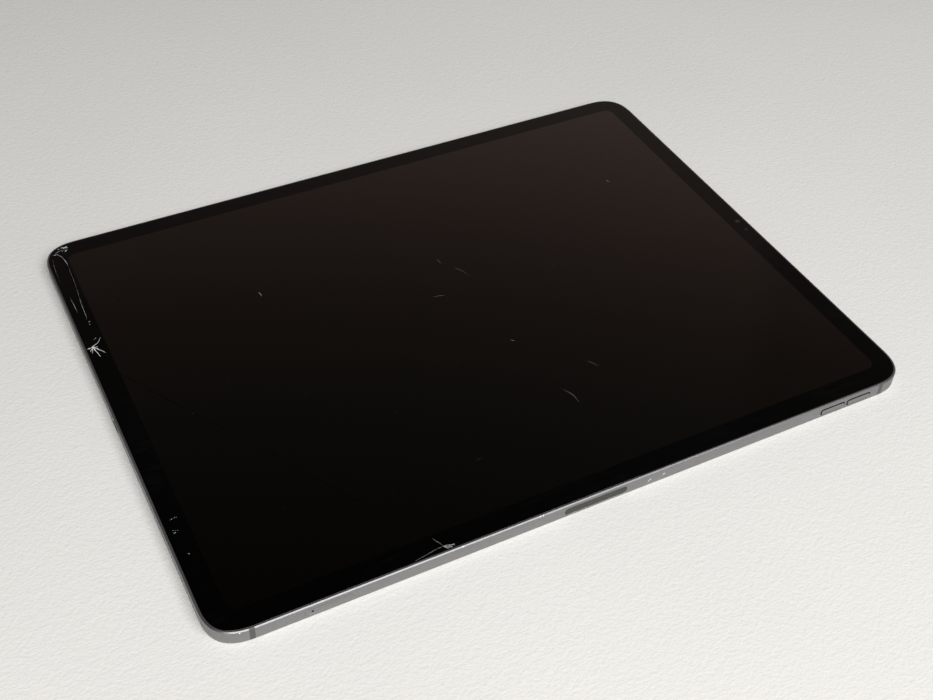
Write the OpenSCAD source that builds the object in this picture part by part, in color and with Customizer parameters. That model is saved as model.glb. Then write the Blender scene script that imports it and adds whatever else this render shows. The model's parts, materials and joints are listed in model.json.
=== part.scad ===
// Tablet computer: a flat-sided aluminium enclosure closed by a bonded glass display.
// +X points to the top of the screen in portrait, +Y across it, and +Z out of the glass.
// The tablet lies face up. The camera ring ends at z = 0, and the back face is bump_h above it.
// Heights inside the modules count from the back face, because lift() raises every node by bump_h.

/* [Body] */
// Length of the enclosure, along X
body_l = 280.6; // [279:0.1:283]
// Width of the enclosure, along Y
body_w = 214.9; // [214:0.1:217]
// Thickness from the back face to the top of the glass
body_h = 5.9; // [5.9:0.05:6.4]
// Radius of the four corners in plan
corner_r = 12; // [11:0.5:14]
// Height by which the camera ring stands proud of the back face
bump_h = 1.2; // [0.8:0.1:1.4]

/* [Enclosure] */
// Thickness of the enclosure's floor
floor_t = 0.8; // [0.7:0.05:0.9]
// Thickness of the side walls
wall_t = 2.6; // [2.4:0.1:2.8]
// Height of the ledge that carries the display
ledge_z = 4.8; // [4.7:0.05:4.9]
// Height of the metal rim beside the glass
rim_z = 5.78; // [5.7:0.01:5.85]
// Width of the metal rim outside the gasket
rim_t = 0.4; // [0.35:0.05:0.5]
// Width and height of the polished chamfer on the rim
chamfer = 0.36; // [0.2:0.02:0.36]
// Radius of the edge between the sides and the back
back_round = 0.4; // [0.4:0.1:0.9]

/* [Display] */
// Length of the picture area
picture_l = 262.9; // [260:0.1:264]
// Width of the picture area
picture_w = 197; // [195:0.1:198]
// Radius of the picture area's corners
picture_r = 2.6; // [1:0.1:5]
// Distance from the enclosure's outer face to the edge of the glass
glass_inset = 0.85; // [0.8:0.05:1]
// Thickness of the cover glass
glass_t = 0.6; // [0.5:0.05:0.6]
// Thickness of the black print under the glass
mask_t = 0.1; // [0.05:0.01:0.12]
// Border of the display layers outside the picture area
layer_border = 1.3; // [1:0.1:1.4]
// Thickness of the liquid crystal cell
cell_t = 0.7; // [0.6:0.05:0.8]
// Thickness of the light guide and its films
backlight_t = 0.9; // [0.8:0.05:0.9]
// Thickness of the steel plate behind the light guide
plate_t = 0.2; // [0.15:0.05:0.2]

/* [Buttons] */
// Length of each volume button
volume_l = 10.8; // [10:0.1:11.2]
// Middle of the lower volume button, along X
volume_down_x = 104.2; // [100:0.1:104.2]
// Middle of the upper volume button, along X
volume_up_x = 116.5; // [116.5:0.1:119]
// Length of the power button
power_l = 14.4; // [12:0.1:15]
// Middle of the power button, along Y
power_y = -83; // [-84:0.5:-80]
// Height of every button across the side
button_h = 2.4; // [2:0.1:2.8]
// Middle of every button above the back face
button_z = 2.5; // [2.4:0.05:2.8]
// Height by which a button stands proud of the side
button_proud = 0.2; // [0.1:0.05:0.3]
// Gap between a button and its slot
button_gap = 0.14; // [0.06:0.02:0.14]

/* [Card tray] */
// Middle of the tray along X
tray_x = -100.9; // [-102:0.1:-100]
// Middle of the tray above the back face
tray_z = 2.6; // [2.55:0.05:2.7]
// Length of the tray's face
tray_l = 16.8; // [16:0.1:17]
// Height of the tray's face
tray_h = 2.5; // [2.2:0.1:2.6]
// Gap between the tray's face and its slot
tray_gap = 0.07; // [0.05:0.01:0.1]
// Eject hole's place along X
eject_x = -106.6; // [-107:0.1:-106]
// Diameter of the eject hole
eject_d = 0.9; // [0.8:0.05:1]

/* [Stylus charging] */
// Length of the charging window in the side
window_l = 25.4; // [25.3:0.1:28]
// Height of the charging window
window_h = 3.2; // [2.8:0.1:3.6]
// Middle of the window above the back face
window_z = 2.6; // [2.5:0.05:2.9]

/* [Ports and sound] */
// Middle of the charging port above the back face
port_z = 2.6; // [2.6:0.05:2.8]
// Middle of each loudspeaker, along Y
speaker_y = 49; // [48:0.5:50]
// Sound holes in each of the four groups
sound_holes = 10; // [6:1:11]
// Distance between the sound holes
sound_pitch = 2.7; // [2.4:0.1:2.8]
// Diameter of a sound hole
sound_d = 1.4; // [1.2:0.1:1.6]

/* [Rear camera] */
// Distance of the camera's axis from the end of the enclosure
camera_end = 18.5; // [18:0.5:19]
// Distance of the camera's axis from the side of the enclosure
camera_side = 18.5; // [18:0.5:19]
// Outer diameter of the camera ring
camera_d = 16.6; // [15:0.2:17]

/* [Antenna bands] */
// Width of a band where it crosses the side
band_w = 1.9; // [1.5:0.1:2.2]
// Middle of a band, along X
band_x = 127; // [127:0.1:127.6]
// Distance of the band on the back from the outline
band_inset = 6; // [5.5:0.1:6.5]

/* [Inside] */
// Length of a battery cell
cell_l = 168; // [150:1:170]
// Width of a battery cell
cell_w = 68; // [60:1:69]
// Length of the logic board
board_l = 168; // [150:1:170]
// Width of the logic board
board_w = 34; // [30:1:36]

/* [Hidden] */
$fn = 64;
eps = 0.01;
over = 1;
ROUND_SMALL_FN = 24;

// Layer heights above the back face
glass_z = body_h - glass_t;
mask_z = glass_z - mask_t;
cell_z = mask_z - cell_t;
backlight_z = cell_z - backlight_t;
plate_z = backlight_z - plate_t;

// Display layers in plan
layer_l = picture_l + 2 * layer_border;
layer_w = picture_w + 2 * layer_border;
layer_r = picture_r + layer_border;
gasket_w = 1.6;

// Button stack, as depths below the outer face
button_wall = 1.4;
flange_gap = 0.05;
flange_t = 0.4;
stem_t = 1;
dome_gap = 0.35;
flange_d = button_wall + flange_gap;
stem_d = flange_d + flange_t;
dome_d = stem_d + stem_t + dome_gap;
switch_d = dome_d + 0.3;
bracket_d = switch_d + 0.7;
bracket_t = 0.3;
bracket_foot = 3;
volume_mid_x = (volume_up_x + volume_down_x) / 2;
volume_bracket_l = 26;
power_bracket_l = 15;

// Card tray and its ejector
tray_head_t = 0.9;
tray_frame_w = 10.8;
tray_frame_x = tray_x + 1.5;
tray_frame_t = 0.9;
tray_frame_l = 14.6;
tool_way_d = 1.3;
lever_y = -body_w / 2 + 17.8;
lever_t = 0.5;
lever_pivot_x = -103.6;
lever_bore_r = 0.6;
lever_reach = 6.6;
reader_x = -100.7;
reader_l = 19.4;
reader_depth = 20;
reader_top = 3.35;

// Charging port
port_l = 8.94;
port_h = 3.2;
port_wall = 0.3;
port_depth = 6.9;
port_recess = 0.35;
port_bracket_x = -body_l / 2 + 8.7;
port_screw_y = 6.5;

// Contacts on the back
contact_x = -127;
contact_pitch = 5;
contact_d = 2.8;
contact_ring_d = 4;

// Rear camera
camera_x = body_l / 2 - camera_end;
camera_y = -body_w / 2 + camera_side;
camera_hole_d = camera_d - 2;
camera_lens_d = 12.6;
mic_dx = 11.5;
flash_dx = 16.6;
flash_d = 4.4;

// Front sensors, in the border at the top of the screen
sensor_x = 136.2;
front_camera_y = -0.6;
proximity_y = -6.9;
infrared_y = 13;
projector_y = -21;
sensor_pocket_w = 51;
sensor_body_z = 1.05;
sensor_body_top = 3.25;
sensor_top = mask_z;

// Loudspeakers and microphones
speaker_l = 37;
speaker_w = 37;
speaker_z = 2.45;
speaker_t = 2.35;
side_mic_y = 28.2;
far_mic_x = 104;

// Logic board
board_x = 12;
board_z = 1.25;
board_t = 0.7;
board_top = board_z + board_t;
shield_h = 1.1;
screw_head_d = 2.2;
standoff_d = 2.6;
thread_d = 1;
board_screws_x = [-68, -14, 40, 92];
board_screws_y = 14.4;

// Battery
cell_z0 = 0.95;
cell_h = 2.3;
cell_y = 56;

// Raise a part from heights above the back face to the tablet's frame.
module lift() {
    translate([0, 0, bump_h]) children();
}

// Flat rectangle with true round corners, centred.
module rounded_rect(l, w, r) {
    square([l - 2 * r, w], center = true);
    square([l, w - 2 * r], center = true);
    for (sx = [-1, 1], sy = [-1, 1])
        translate([sx * (l / 2 - r), sy * (w / 2 - r)]) circle(r);
}

// The enclosure's outline in plan, moved inwards.
module outline(inset = 0) {
    rounded_rect(body_l - 2 * inset, body_w - 2 * inset, corner_r - inset);
}

// Box given by its lowest corner and its size.
module block(at, size) {
    translate(at) cube(size);
}

// Box standing on z, centred in plan.
module slab(x, y, z, l, w, h) {
    translate([x - l / 2, y - w / 2, z]) cube([l, w, h]);
}

// Carry a profile round the enclosure's outline. Its x is the depth in from
// the outer face, and its y is the height.
module along_edge() {
    straight_x = body_l - 2 * corner_r;
    straight_y = body_w - 2 * corner_r;
    for (side = [0, 1]) {
        mirror([0, side, 0])
            translate([-straight_x / 2, -body_w / 2, 0])
                rotate([90, 0, 90]) linear_extrude(straight_x) children();
        mirror([side, 0, 0])
            translate([-body_l / 2, straight_y / 2, 0])
                rotate([90, 0, 0]) linear_extrude(straight_y) children();
    }
    for (mx = [0, 1], my = [0, 1])
        mirror([mx, 0, 0]) mirror([0, my, 0])
            translate([straight_x / 2, straight_y / 2, 0])
                rotate_extrude(angle = 90) translate([corner_r, 0]) mirror([1, 0]) children();
}

// Frames on the four sides: x runs along the side, y is the height above the
// back face, and z points out of the side with 0 at the outer face.
module near_side(x, z = 0) {
    translate([x, -body_w / 2, z]) rotate([90, 0, 0]) children();
}

module far_side(x, z = 0) {
    translate([x, body_w / 2, z]) rotate([90, 0, 180]) children();
}

module top_side(y, z = 0) {
    translate([body_l / 2, y, z]) rotate([90, 0, 90]) children();
}

module bottom_side(y, z = 0) {
    translate([-body_l / 2, y, z]) rotate([90, 0, -90]) children();
}

// Rounded bar in a side frame, from depth d0 to depth d1 below the outer face.
module side_bar(l, h, r, d0, d1) {
    translate([0, 0, -d1]) linear_extrude(d1 - d0) rounded_rect(l, h, r);
}

// Put a child at the middle of each of the three buttons.
module at_volume_up() {
    near_side(volume_up_x, button_z) children();
}

module at_volume_down() {
    near_side(volume_down_x, button_z) children();
}

module at_power() {
    top_side(power_y, button_z) children();
}

// What the round back edge and the polished chamfer take off a square block.
module edge_waste() {
    difference() {
        translate([-over, -over]) square(over + back_round);
        translate([back_round, back_round]) circle(back_round);
    }
    polygon([[-over, rim_z - chamfer - over], [chamfer + over, rim_z + over], [-over, rim_z + over]]);
}

// The enclosure's outer form with nothing cut into it.
module enclosure_block() {
    difference() {
        linear_extrude(rim_z) outline();
        along_edge() edge_waste();
    }
}

// The recess above the ledge, where the gasket and the glass go.
module display_recess() {
    translate([0, 0, ledge_z]) linear_extrude(body_h) outline(rim_t);
}

// Antenna bands in plan on the back: a line inside each end that turns the
// corners and leaves across the two long sides.
module band_plan() {
    line_w = 1.5;
    for (side = [0, 1]) mirror([side, 0]) {
        intersection() {
            difference() {
                outline(band_inset);
                outline(band_inset + line_w);
            }
            translate([band_x - band_w / 2, -body_w / 2]) square([body_l, body_w]);
        }
        for (end = [0, 1]) mirror([0, end])
            translate([band_x - band_w / 2, -body_w / 2 - over])
                square([band_w, over + band_inset + line_w]);
    }
}

// Space that the antenna bands fill: the lines on the back and the posts in the sides.
module band_space() {
    line_depth = 0.35;
    post_depth = 1.3;
    linear_extrude(line_depth) band_plan();
    for (mx = [0, 1], my = [0, 1]) mirror([mx, 0, 0]) mirror([0, my, 0])
        block([band_x - band_w / 2, body_w / 2 - post_depth, 0], [band_w, post_depth + over, body_h]);
}

// Slot and inner pocket of one button, in its side frame.
module button_cut(l) {
    side_bar(l + 2 * button_gap, button_h + 2 * button_gap, button_h / 2 - 0.1, -over, button_wall + eps);
    pocket_l = l + 1.7;
    translate([-pocket_l / 2, floor_t - button_z, -wall_t - eps])
        cube([pocket_l, ledge_z - floor_t, wall_t - button_wall + eps]);
}

// Holes of one loudspeaker, in a side frame.
module sound_cut() {
    for (i = [0 : sound_holes - 1])
        translate([(i - (sound_holes - 1) / 2) * sound_pitch, 0, -wall_t - over])
            cylinder(d = sound_d, h = wall_t + 2 * over);
}

// Opening of the card tray: a shallow recess for its face and a narrower way for its frame.
module tray_cut() {
    near_side(tray_x, tray_z)
        side_bar(tray_l + 2 * tray_gap, tray_h + 2 * tray_gap, tray_h / 2, -over, tray_head_t + 0.1);
    near_side(tray_frame_x, tray_z)
        translate([-tray_frame_w / 2 - 0.1, -tray_frame_t / 2 - 0.1, -wall_t - over])
            cube([tray_frame_w + 0.2, tray_frame_t + 0.2, wall_t + over]);
    near_side(eject_x, tray_z)
        translate([0, 0, -wall_t - over]) cylinder(d = tool_way_d, h = wall_t + over);
}

// Holes in the back for the camera, its microphone, the flash and the contacts.
module back_cuts() {
    translate([camera_x, camera_y, -over]) cylinder(d = camera_hole_d, h = floor_t + 2 * over);
    translate([camera_x - mic_dx, camera_y, -over]) cylinder(d = 0.9, h = floor_t + 2 * over);
    translate([camera_x - flash_dx, camera_y, -over]) cylinder(d = flash_d, h = floor_t + 2 * over);
    for (i = [-1, 0, 1])
        translate([contact_x, i * contact_pitch, -over])
            cylinder(d = contact_ring_d, h = floor_t + 2 * over);
}

module rear_cover() {
    color("#75767a") lift() difference() {
        enclosure_block();
        translate([0, 0, floor_t]) linear_extrude(body_h) outline(wall_t);
        display_recess();
        band_space();
        back_cuts();
        at_volume_up() button_cut(volume_l);
        at_volume_down() button_cut(volume_l);
        at_power() button_cut(power_l);
        tray_cut();
        near_side(0, window_z) side_bar(window_l, window_h, window_h / 2 - eps, -over, 1.5);
        near_side(0, window_z) translate([-12.6, -1.6, -wall_t - eps]) cube([25.2, 3.2, wall_t]);
        for (y = [-speaker_y, speaker_y]) {
            top_side(y, speaker_z) sound_cut();
            bottom_side(y, speaker_z) sound_cut();
        }
        for (y = [-side_mic_y, side_mic_y])
            top_side(y, speaker_z) translate([0, 0, -wall_t - over]) cylinder(d = 0.8, h = wall_t + 2 * over);
        far_side(far_mic_x, speaker_z) translate([0, 0, -wall_t - over]) cylinder(d = 0.8, h = wall_t + 2 * over);
        bottom_side(0, port_z) side_bar(port_l, port_h, port_h / 2 - eps, -over, wall_t + over);
        block([body_l / 2 - wall_t - eps, -sensor_pocket_w / 2, floor_t], [0.9, sensor_pocket_w, ledge_z]);
    }
}

module antenna_bands() {
    color("#5b5c5f") lift() difference() {
        intersection() {
            enclosure_block();
            band_space();
        }
        display_recess();
    }
}

module charging_window() {
    color("#585857") lift() near_side(0, window_z) side_bar(window_l, window_h, window_h / 2 - eps, 0, 1.5);
}

module charging_coil() {
    color("#b87333") lift() near_side(0, window_z) difference() {
        side_bar(24, 3, 1.4, 1.55, 2.15);
        side_bar(20, 1.2, 0.59, 1.5, 2.2);
    }
}

module coil_ferrite() {
    color("#3a3532") lift() near_side(0, window_z) side_bar(23, 2.9, 0.3, 2.2, 2.9);
}

module cover_glass() {
    color("#101012", 0.6) lift()
        translate([0, 0, glass_z]) linear_extrude(glass_t) outline(glass_inset);
}

// Black print: a frame round the picture area with windows for the sensors.
module bezel_print() {
    color("#060607") lift() translate([0, 0, mask_z]) linear_extrude(mask_t) difference() {
        outline(glass_inset);
        rounded_rect(picture_l, picture_w, picture_r);
        translate([sensor_x, front_camera_y]) circle(d = 2.4);
        translate([sensor_x, proximity_y]) circle(d = 1.5);
    }
}

// Polymer frame that seals the glass: a lip between glass and rim, and a bed under the glass.
module display_gasket() {
    color("#3c3c3e") lift() difference() {
        translate([0, 0, ledge_z]) linear_extrude(rim_z - ledge_z) outline(rim_t);
        translate([0, 0, mask_z]) linear_extrude(body_h) outline(glass_inset);
        translate([0, 0, ledge_z - over]) linear_extrude(body_h) outline(glass_inset + gasket_w);
    }
}

// One layer of the display, from height z.
module display_layer(z, t) {
    lift() translate([0, 0, z]) linear_extrude(t) rounded_rect(layer_l, layer_w, layer_r);
}

module display_cell() {
    color("#161415") display_layer(cell_z, cell_t);
}

module backlight_stack() {
    color("#e8e8e4") display_layer(backlight_z, backlight_t);
}

module display_back_plate() {
    color("#9a9b9d") display_layer(plate_z, plate_t);
}

module display_driver_board() {
    color("#1f4a33") lift() difference() {
        slab(0, 95, 2.85, 180, 6, 0.45);
        for (x = [-80, 80]) translate([x, 95, 2]) cylinder(d = 1.6, h = 2, $fn = ROUND_SMALL_FN);
    }
    color("#222222") lift() for (i = [-3 : 3]) slab(i * 20, 95, 2.45, 9, 4, 0.4);
}

module display_flex() {
    color("#8a5a2b") lift() {
        for (x = [-34, 52]) {
            slab(x, 54, 3.28, 18, 76, 0.08);
            slab(x, 18, 3.2, 16, 4, 0.08);
        }
    }
}

// One pouch cell with its folded side flaps.
module battery_cell(y) {
    color("#2b2b2e") lift() {
        slab(0, y, cell_z0, cell_l, cell_w, cell_h);
        for (s = [-1, 1]) slab(0, y + s * (cell_w / 2 + 0.4), cell_z0 + 0.3, cell_l - 8, 0.8, 1.6);
        slab(-cell_l / 2 - 2, y - sign(y) * 20, cell_z0 + 0.8, 4, 12, 0.5);
    }
}

module battery_cell_near() { battery_cell(-cell_y); }
module battery_cell_far() { battery_cell(cell_y); }

module battery_adhesive() {
    strips = 3;
    color("#e9e6dc") lift()
        for (s = [-1, 1], i = [0 : strips - 1])
            slab((i - 1) * 54, s * cell_y, floor_t, 36, 58, cell_z0 - floor_t);
}

module battery_board() {
    color("#1f4a33") lift() {
        slab(-91.5, 0, 1.3, 8, 64, 0.45);
        slab(-87, 0, 1.75, 10, 14, 0.6);
    }
    color("#8a5a2b") lift() slab(-78.5, 0, 1.96, 22, 12, 0.1);
}

module board_outline() {
    difference() {
        rounded_rect(board_l, board_w, 2);
        for (x = board_screws_x, s = [-1, 1])
            translate([x - board_x, s * board_screws_y]) circle(d = 1.2);
    }
}

module logic_board() {
    color("#143d2a") lift() translate([board_x, 0, board_z]) linear_extrude(board_t) board_outline();
}

module processor() {
    color("#2a2a2c") lift() {
        slab(30, 0, board_top, 17, 17, 0.5);
        slab(30, 0, board_top + 0.5, 14, 14, 0.35);
    }
}

module board_chips() {
    color("#1c1c1e") lift() {
        for (x = [-58, -44, -30, 8, 54, 76]) slab(x, 4, board_top, 9, 11, 0.75);
        for (x = [-52, -38, -2, 62, 80]) slab(x, -7.5, board_top, 6, 5, 0.6);
        for (i = [0 : 11]) slab(-56 + i * 13, 13.2, board_top, 1.6, 0.8, 0.45);
    }
}

// One pressed can over part of the board.
module shield_can(x, l) {
    t = 0.2;
    difference() {
        slab(x, -0.4, board_top, l, 24.4, shield_h);
        slab(x, -0.4, board_top - over, l - 2 * t, 24.4 - 2 * t, shield_h - t + over);
    }
}

module board_shields() {
    color("#b9babc") lift() {
        shield_can(-43, 40);
        shield_can(28, 76);
        shield_can(77.5, 17);
    }
}

module heat_spreader() {
    color("#3b3c3f") lift() slab(12, -0.4, board_top + shield_h, 148, 24, 0.1);
}

module board_standoffs() {
    color("#c9b27a") lift() for (x = board_screws_x, s = [-1, 1])
        translate([x, s * board_screws_y, floor_t]) difference() {
            cylinder(d = standoff_d, h = board_z - floor_t);
            translate([0, 0, -eps]) cylinder(d = thread_d, h = board_z);
        }
}

// Small pan-head screw standing on z = 0, with its shank below and a cross in its head.
module screw(shank) {
    head_h = 0.4;
    difference() {
        cylinder(d = screw_head_d, h = head_h);
        for (a = [0, 90]) rotate([0, 0, a])
            translate([-0.6, -0.1, 0.2]) cube([1.2, 0.2, head_h]);
    }
    translate([0, 0, -shank]) cylinder(d = thread_d, h = shank);
}

module board_screws() {
    color("#6a6c70") lift() for (x = board_screws_x, s = [-1, 1])
        translate([x, s * board_screws_y, board_top]) screw(board_top - floor_t);
}

// One loudspeaker box with its mouth towards the end of the tablet.
module speaker(end, side) {
    mouth_l = 30;
    inner_x = body_l / 2 - wall_t - 0.25;
    color("#29292b") lift() mirror([end < 0 ? 1 : 0, 0, 0]) difference() {
        slab(inner_x - speaker_l / 2, side * speaker_y, 0.9, speaker_l, speaker_w, speaker_t);
        slab(inner_x, side * speaker_y, 1.5, 2, mouth_l, 1.7);
        slab(inner_x - 20, side * speaker_y, 2.9, 22, 26, 1);
    }
}

module speaker_top_near() { speaker(1, -1); }
module speaker_top_far() { speaker(1, 1); }
module speaker_bottom_near() { speaker(-1, -1); }
module speaker_bottom_far() { speaker(-1, 1); }

module speaker_meshes() {
    color("#1b1b1c") lift() for (y = [-speaker_y, speaker_y]) {
        top_side(y, speaker_z) side_bar(27.6, 2, 0.4, wall_t + 0.03, wall_t + 0.17);
        bottom_side(y, speaker_z) side_bar(27.6, 2, 0.4, wall_t + 0.03, wall_t + 0.17);
    }
}

module microphones() {
    color("#c4a35a") lift() {
        for (y = [-side_mic_y, side_mic_y])
            top_side(y, speaker_z) side_bar(2.6, 2.2, 0.3, wall_t + 0.02, wall_t + 1.1);
        far_side(far_mic_x, speaker_z) side_bar(3.4, 2.2, 0.3, wall_t + 0.02, wall_t + 1.1);
        slab(camera_x - mic_dx, camera_y, floor_t + 0.02, 3.2, 3.2, 1);
    }
}

// Sensor with a square body and a round barrel up to the glass print.
module barrel_sensor(y, side, d) {
    slab(sensor_x - 0.9, y, sensor_body_z, side, side, sensor_body_top - sensor_body_z);
    translate([sensor_x, y, sensor_body_top]) difference() {
        cylinder(d = d, h = sensor_top - sensor_body_top);
        translate([0, 0, 1.2]) cylinder(d = d - 1, h = sensor_top);
    }
}

module front_camera() {
    color("#1a1a1d") lift() barrel_sensor(front_camera_y, 6, 3);
}

module infrared_camera() {
    color("#1d1a22") lift() barrel_sensor(infrared_y, 6, 3);
}

module dot_projector() {
    color("#24242a") lift() {
        slab(sensor_x - 0.9, projector_y, sensor_body_z, 5.6, 8, sensor_body_top - sensor_body_z);
        slab(sensor_x, projector_y, sensor_body_top, 2.8, 3.6, sensor_top - sensor_body_top);
    }
}

module proximity_sensor() {
    color("#242426") lift() barrel_sensor(proximity_y, 3.6, 2.2);
}

module sensor_bracket() {
    color("#a5a6a8") lift() difference() {
        slab(sensor_x - 1.1, -2, floor_t, 6.8, 46, sensor_body_z - floor_t);
        for (y = [-13.6, 5.8]) translate([sensor_x - 3, y, 0])
            cylinder(d = 1.2, h = 3, $fn = ROUND_SMALL_FN);
    }
}

module rear_camera_module() {
    color("#1e1e20") lift() {
        slab(camera_x, camera_y, floor_t + 0.05, 13, 13, 2.4);
        translate([camera_x, camera_y, -0.45]) difference() {
            cylinder(d = 9.6, h = floor_t + 0.5);
            translate([0, 0, -over]) cylinder(d = 5.6, h = 1.6);
        }
    }
}

// Ring round the rear camera: a collar through the back with a proud lip and a seat for the lens.
module camera_ring() {
    lens_seat = 0.7;
    color("#68696d") lift() translate([camera_x, camera_y, 0]) difference() {
        union() {
            translate([0, 0, -bump_h]) cylinder(d = camera_d, h = bump_h);
            cylinder(d = camera_hole_d, h = floor_t);
        }
        translate([0, 0, -bump_h - over]) cylinder(d = camera_lens_d, h = over + lens_seat);
        translate([0, 0, -bump_h]) cylinder(d = 10.6, h = bump_h + floor_t + over);
    }
}

module camera_lens() {
    color("#15151a", 0.6) lift()
        translate([camera_x, camera_y, -bump_h + 0.1]) cylinder(d = camera_lens_d, h = 0.6);
}

module flash_lens() {
    color("#e8e3c8") lift() translate([camera_x - flash_dx, camera_y, 0.02]) cylinder(d = flash_d, h = floor_t - 0.02);
}

module flash_board() {
    color("#1f4a33") lift() slab(camera_x - flash_dx, camera_y, floor_t, 6, 6, 0.4);
    color("#e5c84a") lift() slab(camera_x - flash_dx, camera_y, floor_t + 0.4, 2.4, 2.4, 0.4);
}

module port_shell() {
    color("#9c9da0") lift() bottom_side(0, port_z) difference() {
        side_bar(port_l, port_h, port_h / 2 - eps, port_recess, port_recess + port_depth);
        side_bar(port_l - 2 * port_wall, port_h - 2 * port_wall, port_h / 2 - port_wall - eps,
                 port_recess - over, port_recess + port_depth - 0.4);
    }
}

module port_tongue() {
    color("#161617") lift() bottom_side(0, port_z) {
        side_bar(6.7, 0.7, 0.1, 1.2, port_recess + port_depth - 0.4);
        side_bar(7.6, 2.4, 1.19, port_recess + port_depth - 1.3, port_recess + port_depth - 0.4);
    }
}

module port_contacts() {
    pads = 12;
    pitch = 0.5;
    color("#d8b65a") lift() bottom_side(0, port_z)
        for (i = [0 : pads - 1], s = [-1, 1])
            translate([(i - (pads - 1) / 2) * pitch - 0.14, s > 0 ? 0.35 : -0.4, -4.6]) cube([0.28, 0.05, 3]);
}

module port_bracket() {
    color("#a5a6a8") lift() difference() {
        slab(port_bracket_x, 0, floor_t, 2.8, 17, 0.4);
        for (s = [-1, 1]) translate([port_bracket_x, s * port_screw_y, 0]) cylinder(d = 1.2, h = 3);
    }
}

module port_flex() {
    color("#8a5a2b") lift() {
        slab(-body_l / 2 + 18.5, 0, 2.3, 22, 8, 0.1);
        slab(-108, 0, 2.3, 7, 8, 0.1);
        slab(-body_l / 2 + 8.4, 0, 1.3, 2.2, 9, 2);
    }
}

module accessory_contacts() {
    color("#c9cacd") lift() for (i = [-1, 0, 1])
        translate([contact_x, i * contact_pitch, 0.05]) cylinder(d = contact_d, h = floor_t + 0.5);
}

module contact_carrier() {
    color("#2c2c2e") lift() difference() {
        union() {
            slab(contact_x, 0, floor_t, 6, 17, 0.45);
            for (i = [-1, 0, 1])
                translate([contact_x, i * contact_pitch, 0]) cylinder(d = contact_ring_d, h = floor_t + eps);
        }
        for (i = [-1, 0, 1])
            translate([contact_x, i * contact_pitch, -over]) cylinder(d = contact_d, h = 4);
    }
}

// Dome switch behind a button, in its side frame.
module dome_switch() {
    translate([0, 0, -switch_d]) cylinder(d = 1.6, h = switch_d - dome_d);
    side_bar(3.8, 2.4, 0.2, switch_d, bracket_d);
}

module button_switches() {
    color("#c4c5c8") lift() {
        at_volume_up() dome_switch();
        at_volume_down() dome_switch();
        at_power() dome_switch();
    }
}

// Steel angle that holds the switches: an upright plate and a foot with two screw holes.
module switch_bracket(l) {
    upright_h = 2.5;
    foot_t = 0.3;
    difference() {
        union() {
            translate([-l / 2, floor_t - button_z, -bracket_d - bracket_t]) cube([l, upright_h, bracket_t]);
            translate([-l / 2, floor_t - button_z, -bracket_d - bracket_t - bracket_foot])
                cube([l, foot_t, bracket_foot + eps]);
        }
        bracket_screw_places(l) translate([0, 0, -over]) cylinder(d = 1.1, h = 3);
    }
}

// The two screws of a switch bracket, each as a frame that stands on the floor.
module bracket_screw_places(l) {
    for (s = [-1, 1])
        translate([s * (l / 2 - 2.2), floor_t - button_z, -bracket_d - bracket_t - bracket_foot / 2])
            rotate([-90, 0, 0]) children();
}

module button_brackets() {
    color("#a5a6a8") lift() {
        near_side(volume_mid_x, button_z) switch_bracket(volume_bracket_l);
        at_power() switch_bracket(power_bracket_l);
    }
}

module bracket_screws() {
    color("#6a6c70") lift() {
        near_side(volume_mid_x, button_z) bracket_screw_places(volume_bracket_l)
            translate([0, 0, 0.3]) screw(0.3);
        at_power() bracket_screw_places(power_bracket_l) translate([0, 0, 0.3]) screw(0.3);
        for (y = [-13.6, 5.8]) translate([sensor_x - 3, y, sensor_body_z]) screw(sensor_body_z - floor_t);
        for (s = [-1, 1]) translate([port_bracket_x, s * port_screw_y, floor_t + 0.4]) screw(0.4);
    }
}

module button_flex() {
    color("#8a5a2b") lift() {
        slab(volume_mid_x - 20, -body_w / 2 + 6.6, 1.15, 14, 2.6, 0.1);
        slab(volume_mid_x - 24.8, -84, 1.15, 2.6, 40, 0.1);
        slab(volume_mid_x - 24.8, -40, 3.3, 2.6, 50, 0.08);
    }
}

// Pressed case that guides the tray, with the post that the ejector turns on.
module sim_reader() {
    t = 0.2;
    y0 = -body_w / 2 + wall_t + 0.05;
    color("#b4b5b8") lift() {
        difference() {
            block([reader_x - reader_l / 2, y0, floor_t], [reader_l, reader_depth - wall_t, reader_top - floor_t]);
            block([reader_x - reader_l / 2 + t, y0 - over, floor_t + t],
                  [reader_l - 2 * t, reader_depth - wall_t - t + over, reader_top - floor_t - 2 * t]);
        }
        translate([lever_pivot_x, lever_y, floor_t + t]) cylinder(r = lever_bore_r - 0.04, h = reader_top - floor_t - 2 * t);
    }
}

module antenna_boards() {
    color("#3d2f1c") lift() {
        for (s = [-1, 1]) slab(-127.5, s * 92, floor_t, 15, 15, 0.5);
        slab(127.5, 92, floor_t, 15, 15, 0.5);
        slab(40, 101.3, 2.9, 60, 4, 0.4);
    }
}

module cover_magnets() {
    count = 14;
    color("#8f9093") lift() for (i = [0 : count - 1])
        slab((i - (count - 1) / 2) * 11, 99.4, floor_t, 10, 5.4, 1.6);
}

module stylus_magnets() {
    color("#8f9093") lift() for (s = [-1, 1], i = [0 : 4])
        slab(s * (20 + i * 9), -101.2, floor_t + 0.1, 8, 5, 2.3);
}

// Button with its cap, the flange that keeps it in, and the stem that meets the switch.
module button(l) {
    color("#77787c") {
        side_bar(l, button_h, button_h / 2 - 0.2, -button_proud, flange_d + eps);
        side_bar(l + 1, button_h + 0.8, button_h / 2, flange_d, stem_d);
        translate([0, 0, -stem_d - stem_t]) cylinder(d = 1.5, h = stem_t + eps);
    }
}

module volume_up_button() { lift() at_volume_up() button(volume_l); }
module volume_down_button() { lift() at_volume_down() button(volume_l); }
module power_button() { lift() at_power() button(power_l); }

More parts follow.
